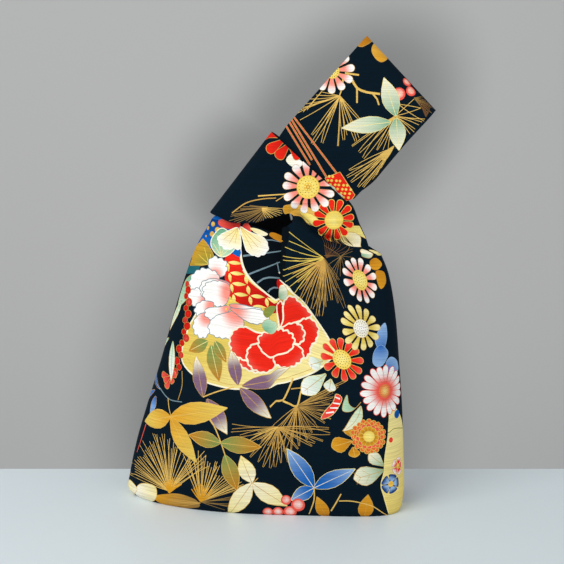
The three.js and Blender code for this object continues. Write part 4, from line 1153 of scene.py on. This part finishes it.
def printed_mesh(cut):
    """The outer face of one half: its net cut along the edges of the printed shapes, each face in its ink."""
    pattern, every = cut["pattern"], np.vstack(list(cut["triangles"].values()))
    spots, lines, used = [pattern], [], len(pattern)
    for join in cut["joins"]:
        lines += [(int(a), int(b)) for a, b in zip(join, join[1:])]
    for on, edge, *_ in cut["shapes"]:
        _, _, tree, triangles = cut["trees"][on]
        spots.append(carry(triangles, nearest(tree, edge), cut["plane"][on], pattern, edge))
        ring = list(range(used, used + len(edge)))
        lines += zip(ring, ring[1:] + ring[:1])
        used += len(edge)
    result = delaunay_2d_cdt([Vector(s) for s in np.vstack(spots).tolist()], lines,
                             [cut["edge"].tolist()],
                             1, 1e-4, True)
    within = [k for k, under in enumerate(result[5]) if under]
    order, triangles = np.unique(np.array(result[2])[within], return_inverse=True)
    triangles = triangles.reshape(-1, 3)
    places = np.array([tuple(v) for v in result[0]])[order]
    middle = places[triangles].mean(1)
    # the shape on top at each triangle is the last one whose outline winds round it
    top = np.full(len(triangles), -1)
    for m, ring in enumerate(spots[1:]):
        near = np.nonzero(((middle >= ring.min(0)) & (middle <= ring.max(0))).all(1))[0]
        top[near[wound_round(middle[near], ring)]] = m
    held = nearest(flat_tree(pattern, every), places)
    on_wall = middle[:, 1] <= cut["rim"]
    on_loop = ~on_wall & (middle[:, 0] < cut["between"])
    part = np.where(on_wall, 0, np.where(on_loop, 1, 2))
    # where each corner lies on its part's drawing plane, and its ink there
    drawn = np.zeros((len(triangles), 3, 2))
    for k, name in enumerate(("wall", "loop", "band")):
        chosen = triangles[part == k]
        mine = np.unique(chosen)
        tree = flat_tree(pattern, cut["triangles"][name])
        plane = np.zeros((len(places), 2))
        plane[mine] = carry(cut["triangles"][name], nearest(tree, places[mine]), pattern,
                            cut["plane"][name],
                            places[mine])
        drawn[part == k] = plane[chosen]
    colour, gold = np.zeros((len(triangles), 3, 3)), np.zeros((len(triangles), 3))
    colour[:] = ink("ground")
    by_shape = np.argsort(top, kind="stable")
    starts = np.searchsorted(top[by_shape], np.arange(len(cut["shapes"]) + 1))
    for m, (on, _, one, other, start, end, power, shine, round_from, size) in enumerate(cut["shapes"]):
        mine = by_shape[starts[m]:starts[m + 1]]
        if not len(mine):
            continue
        spots = drawn[mine]
        if round_from is not None:
            t = np.linalg.norm(spots - round_from, axis=2) / size
        elif start is not None:
            way = end - start
            t = (spots - start) @ way / (way @ way)
        else:
            t = np.zeros(spots.shape[:2])
        if isinstance(power, tuple):
            t = np.clip((t - power[0]) / (power[1] - power[0]), 0, 1)
            t = (t * t * (3 - 2 * t))[:, :, None]
        else:
            t = (np.clip(t, 0, 1) ** power)[:, :, None]
        colour[mine] = ink(one) * (1 - t) + ink(other) * t
        gold[mine] = shine
    return places, triangles, held, every, drawn, colour, gold


def sewn_piece(name, cut, places, triangles, held, every, outer, inner):
    """A closed wall of cloth between two depths, from the flat mesh of its outer face."""
    pattern = cut["pattern"]
    point = carry(every, held, pattern, cut["points"], places)
    facing = carry(every, held, pattern, cut["facing"], places)
    facing /= np.maximum(np.linalg.norm(facing, axis=1), 1e-9)[:, None]
    thicken = carry(every, held, pattern, cut["thicken"], places)
    rim = edge_loop(triangles)
    within = np.setdiff1d(np.arange(len(pattern)), cut["edge"])
    round_rim = list(range(len(rim)))
    flat_under = np.vstack([places[rim], pattern[within]])
    below = delaunay_2d_cdt([Vector(s) for s in flat_under.tolist()],
                            list(zip(round_rim, round_rim[1:] + [0])), [], 0, 1e-6, True)
    under = np.array([min(k) for k in below[3]])[np.array(below[2])]
    under = under[wound_round(flat_under[under].mean(1), places[rim])]
    under_point = np.vstack([point[rim] - thicken[rim] * inner,
                             cut["points"][within] - cut["thicken"][within] * inner])
    under_facing = -np.vstack([facing[rim], cut["facing"][within]])
    top_point = point - thicken * outer
    n, m = len(places), len(rim)
    following = np.roll(np.arange(m), -1)
    walls = np.vstack([np.stack([rim[following], rim, n + np.arange(m)], -1),
                       np.stack([rim[following], n + np.arange(m), n + following], -1)])
    everything = np.vstack([top_point, under_point])
    faces = np.vstack([triangles, n + under[:, ::-1], walls])
    corner = everything[walls]
    flat_way = np.cross(corner[:, 1] - corner[:, 0], corner[:, 2] - corner[:, 0])
    flat_way /= np.maximum(np.linalg.norm(flat_way, axis=1), 1e-9)[:, None]
    ways = np.concatenate([facing[triangles], under_facing[under[:, ::-1]],
                           np.repeat(flat_way[:, None], 3, 1)])
    # the pattern's own outline, the inner face beside it and the edge's thickness beside that
    flat_top = places[triangles] / map_width
    under_flat = flat_under * 0.4 / map_width + [0.62, 0]
    length = np.concatenate([[0], np.cumsum(np.linalg.norm(np.diff(places[rim], axis=0), axis=1))]) / 1600
    edge_flat = np.zeros((len(walls), 3, 2))
    for k in range(len(walls)):
        s = k % m
        ahead = length[s + 1] if s + 1 < m else length[s] + 0.001
        edge_flat[k] = ([[0.90, ahead], [0.90, length[s]], [0.92, length[s]]] if k < m else
                        [[0.93, ahead], [0.95, length[s]], [0.95, ahead]])
    uv = np.concatenate([flat_top, under_flat[under[:, ::-1]], edge_flat])
    if cut is back_cut:
        everything, ways = everything * [1, -1, 1], ways * [1, -1, 1]
        faces, ways, uv = faces[:, ::-1], ways[:, ::-1], uv[:, ::-1]
    mesh = bpy.data.meshes.new(name)
    mesh.from_pydata(((everything + shift) / 1000).tolist(), [], faces.tolist())
    mesh.polygons.foreach_set("use_smooth", [True] * len(faces))
    layer = mesh.uv_layers.new(name="OFBake")
    layer.data.foreach_set("uv", uv.reshape(-1).tolist())
    mesh.normals_split_custom_set(ways.reshape(-1, 3).tolist())
    piece = bpy.data.objects.new(name, mesh)
    bpy.context.collection.objects.link(piece)
    area = np.linalg.norm(np.cross(point[triangles][:, 1] - point[triangles][:, 0],
                                   point[triangles][:, 2] - point[triangles][:, 0]), axis=1).sum() / 2e6
    return piece, len(triangles), area


# the cotton's yarns show as fine slubs across the print, and the gold lines have a dull metal shine
cotton = bpy.data.materials.new("printed cotton")
cotton.use_nodes = True
nodes, links = cotton.node_tree.nodes, cotton.node_tree.links
surface = nodes["Principled BSDF"]
surface.inputs["Specular IOR Level"].default_value = 0.06
colour_of = nodes.new("ShaderNodeAttribute")
colour_of.attribute_name = "print"
gold_of = nodes.new("ShaderNodeAttribute")
gold_of.attribute_name = "gold"
place_of = nodes.new("ShaderNodeAttribute")
place_of.attribute_name = "drawn"


def noise(tree, where, scale, size, detail=2.0):
    """Uneven grain, stretched along the threads by the scale of each way."""
    stretch = tree.nodes.new("ShaderNodeMapping")
    stretch.inputs["Scale"].default_value = scale
    tree.links.new(where, stretch.inputs["Vector"])
    grain = tree.nodes.new("ShaderNodeTexNoise")
    grain.inputs["Scale"].default_value = size
    grain.inputs["Detail"].default_value = detail
    tree.links.new(stretch.outputs["Vector"], grain.inputs["Vector"])
    return grain.outputs["Fac"]


def ranged(tree, value, low, high):
    """A grain's strength brought between two ends."""
    between = tree.nodes.new("ShaderNodeMapRange")
    between.inputs["From Min"].default_value = 0.25
    between.inputs["From Max"].default_value = 0.75
    between.inputs["To Min"].default_value = low
    between.inputs["To Max"].default_value = high
    tree.links.new(value, between.inputs["Value"])
    return between.outputs["Result"]


def worked(tree, operation, a, b):
    """Two strengths brought together in one."""
    node = tree.nodes.new("ShaderNodeMath")
    node.operation = operation
    for socket, value in zip(node.inputs, (a, b)):
        if isinstance(value, (int, float)):
            socket.default_value = value
        else:
            tree.links.new(value, socket)
    return node.outputs[0]


tree = cotton.node_tree
slubs = noise(tree, place_of.outputs["Vector"], (0.035, 1.1, 1.0), 1.0, 3.0)
threads = noise(tree, place_of.outputs["Vector"], (1.0, 2.2, 1.0), 1.6, 2.0)
shade = worked(tree, "MULTIPLY", ranged(tree, slubs, 0.80, 1.22), ranged(tree, threads, 0.90, 1.10))
tint = tree.nodes.new("ShaderNodeVectorMath")
tint.operation = "SCALE"
links.new(colour_of.outputs["Color"], tint.inputs[0])
links.new(shade, tint.inputs["Scale"])
links.new(tint.outputs["Vector"], surface.inputs["Base Color"])
links.new(worked(tree, "MULTIPLY", gold_of.outputs["Fac"], 0.25), surface.inputs["Metallic"])
rough = worked(tree, "SUBTRACT", ranged(tree, slubs, 0.72, 0.84),
               worked(tree, "MULTIPLY", gold_of.outputs["Fac"], 0.3))
links.new(rough, surface.inputs["Roughness"])
relief = worked(tree, "ADD", slubs, worked(tree, "MULTIPLY", threads, 0.6))
bump = nodes.new("ShaderNodeBump")
bump.inputs["Strength"].default_value = 0.35
bump.inputs["Distance"].default_value = 0.0003
links.new(relief, bump.inputs["Height"])
links.new(bump.outputs["Normal"], surface.inputs["Normal"])

for name, cut in (("front", front_cut), ("back", back_cut)):
    places, triangles, held, every, drawn, colour, gold = printed_mesh(cut)
    piece, outer_count, area = sewn_piece(name + "_cloth", cut, places, triangles, held, every, 0, cloth)
    mesh = piece.data
    count = len(mesh.polygons)
    if cut is back_cut:
        drawn, colour, gold = drawn[:, ::-1], colour[:, ::-1], gold[:, ::-1]
    every_colour = np.zeros((count, 3, 4)) + [*ink("ground"), 1.0]
    every_colour[:outer_count, :, :3] = colour
    every_gold = np.zeros((count, 3))
    every_gold[:outer_count] = gold
    every_place = np.zeros((count, 3, 3))
    every_place[:outer_count, :, :2] = drawn
    flat_map = np.zeros(count * 6)
    mesh.uv_layers["OFBake"].data.foreach_get("uv", flat_map)
    every_place[outer_count:, :, :2] = flat_map.reshape(-1, 3, 2)[outer_count:] * map_width
    print_layer = mesh.color_attributes.new("print", "FLOAT_COLOR", "CORNER")
    print_layer.data.foreach_set("color", every_colour.ravel())
    gold_layer = mesh.attributes.new("gold", "FLOAT", "CORNER")
    gold_layer.data.foreach_set("value", every_gold.ravel())
    drawn_layer = mesh.attributes.new("drawn", "FLOAT_VECTOR", "CORNER")
    drawn_layer.data.foreach_set("vector", every_place.ravel())
    mesh.materials.append(cotton)
    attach(piece, "root")
    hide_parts(name + "_panel")

# The lining, front and back: plain charcoal cotton, 1 mm thick, cut to the same pattern, sewn with the outer
# cloth along its edges and lying close inside it. It shows in the mouth and inside the long loop.
charcoal = bpy.data.materials.new("charcoal lining")
charcoal.use_nodes = True
nodes, links = charcoal.node_tree.nodes, charcoal.node_tree.links
surface = nodes["Principled BSDF"]
surface.inputs["Specular IOR Level"].default_value = 0.15
coordinates = nodes.new("ShaderNodeUVMap")
coordinates.uv_map = "OFBake"
tree = charcoal.node_tree
weave = noise(tree, coordinates.outputs["UV"], (map_width, 900.0, 1.0), 1.0)
ramp = nodes.new("ShaderNodeValToRGB")
ramp.color_ramp.elements[0].color = (0.006, 0.006, 0.008, 1)
ramp.color_ramp.elements[1].color = (0.022, 0.022, 0.026, 1)
links.new(weave, ramp.inputs["Fac"])
links.new(ramp.outputs["Color"], surface.inputs["Base Color"])
links.new(ranged(tree, weave, 0.78, 0.92), surface.inputs["Roughness"])
bump = nodes.new("ShaderNodeBump")
bump.inputs["Strength"].default_value = 0.4
bump.inputs["Distance"].default_value = 0.0002
links.new(weave, bump.inputs["Height"])
links.new(bump.outputs["Normal"], surface.inputs["Normal"])

for name, cut in (("front", front_cut), ("back", back_cut)):
    plain = np.vstack(list(cut["triangles"].values()))
    held = nearest(flat_tree(cut["pattern"], plain), cut["pattern"])
    piece, _, area = sewn_piece(name + "_lining_cloth", cut, cut["pattern"], plain, held, plain,
                                cloth + seam_gap, stack)
    piece.data.materials.append(charcoal)
    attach(piece, "root")
    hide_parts(name + "_lining")

# The table that the bag stands on, painted pale, its far edge close behind the bag, and a roll of grey paper
# hung behind it, with painted shade making it darker round the bag.
def block(name, low, high):
    """A flat slab, turned to face the camera."""
    mesh = bpy.data.meshes.new(name)
    corners = [(x, y, z) for z in (low[2], high[2]) for x, y in
               ((low[0], low[1]), (high[0], low[1]), (high[0], high[1]), (low[0], high[1]))]
    mesh.from_pydata(corners, [], [(3, 2, 1, 0), (4, 5, 6, 7), (0, 1, 5, 4), (1, 2, 6, 5), (2, 3, 7, 6),
                                   (3, 0, 4, 7)])
    piece = bpy.data.objects.new(name, mesh)
    bpy.context.collection.objects.link(piece)
    piece.rotation_euler = (0, 0, turned)
    return piece


floor = block("floor", (-1.6, -2.6, -0.03), (1.6, 0.057, 0))
pale = bpy.data.materials.new("pale table")
pale.use_nodes = True
pale.node_tree.nodes["Principled BSDF"].inputs["Base Color"].default_value = (0.67, 0.74, 0.765, 1)
pale.node_tree.nodes["Principled BSDF"].inputs["Roughness"].default_value = 0.45
floor.data.materials.append(pale)

backdrop = block("backdrop", (-3.0, 1.1, -1.5), (3.0, 1.12, 3.0))
paper = bpy.data.materials.new("grey paper with painted shade")
paper.use_nodes = True
nodes, links = paper.node_tree.nodes, paper.node_tree.links
surface = nodes["Principled BSDF"]
surface.inputs["Roughness"].default_value = 0.95
coordinates = nodes.new("ShaderNodeTexCoord")
# painted shade on the paper: three soft spots round the bag, darkest next to it
near = None
for x, z, wide, tall, turn in ((-0.014, -0.292, 0.400, 0.530, 0), (0.108, 0.222, 0.225, 0.335, 42),
                               (0.006, 0.130, 0.235, 0.200, 0)):
    shade_spot = nodes.new("ShaderNodeMapping")
    shade_spot.vector_type = "TEXTURE"
    shade_spot.inputs["Location"].default_value = (x, 1.1, z)
    shade_spot.inputs["Rotation"].default_value = (0, math.radians(turn), 0)
    shade_spot.inputs["Scale"].default_value = (wide, 1, tall)
    links.new(coordinates.outputs["Object"], shade_spot.inputs["Vector"])
    fade = nodes.new("ShaderNodeTexGradient")
    fade.gradient_type = "SPHERICAL"
    links.new(shade_spot.outputs["Vector"], fade.inputs["Vector"])
    near = worked(paper.node_tree, "MAXIMUM", near, fade.outputs["Fac"]) if near else fade.outputs["Fac"]
# the paper's own grey away from the bag, and the darker painted shade close to it
ramp = nodes.new("ShaderNodeValToRGB")
ramp.color_ramp.interpolation = "EASE"
ramp.color_ramp.elements[0].color = (0.560, 0.552, 0.540, 1)
ramp.color_ramp.elements[1].position = 0.55
ramp.color_ramp.elements[1].color = (0.300, 0.298, 0.290, 1)
links.new(near, ramp.inputs["Fac"])
links.new(ramp.outputs["Color"], surface.inputs["Base Color"])
backdrop.data.materials.append(paper)

# Soft studio light: a wide lamp from the upper left, a weaker one from the right, and pale light all round
# from the room.
for name, place, size, power in (("key light", (-0.7, -0.8, 0.95), 0.9, 11),
                                 ("fill light", (0.9, -0.8, 0.6), 1.0, 3.6)):
    lamp = bpy.data.lights.new(name, "AREA")
    lamp.energy, lamp.size = power, size
    lamp_object = bpy.data.objects.new(name, lamp)
    bpy.context.collection.objects.link(lamp_object)
    lamp_object.location = place
    lamp_object.rotation_euler = (Vector(place) - Vector((0, 0, 0.18))).to_track_quat("Z", "Y").to_euler()
world = bpy.data.worlds.new("studio")
bpy.context.scene.world = world
world.use_nodes = True
world.node_tree.nodes["Background"].inputs["Color"].default_value = (0.94, 0.97, 1.0, 1)
world.node_tree.nodes["Background"].inputs["Strength"].default_value = 0.58
bpy.context.scene.view_settings.view_transform = "Standard"
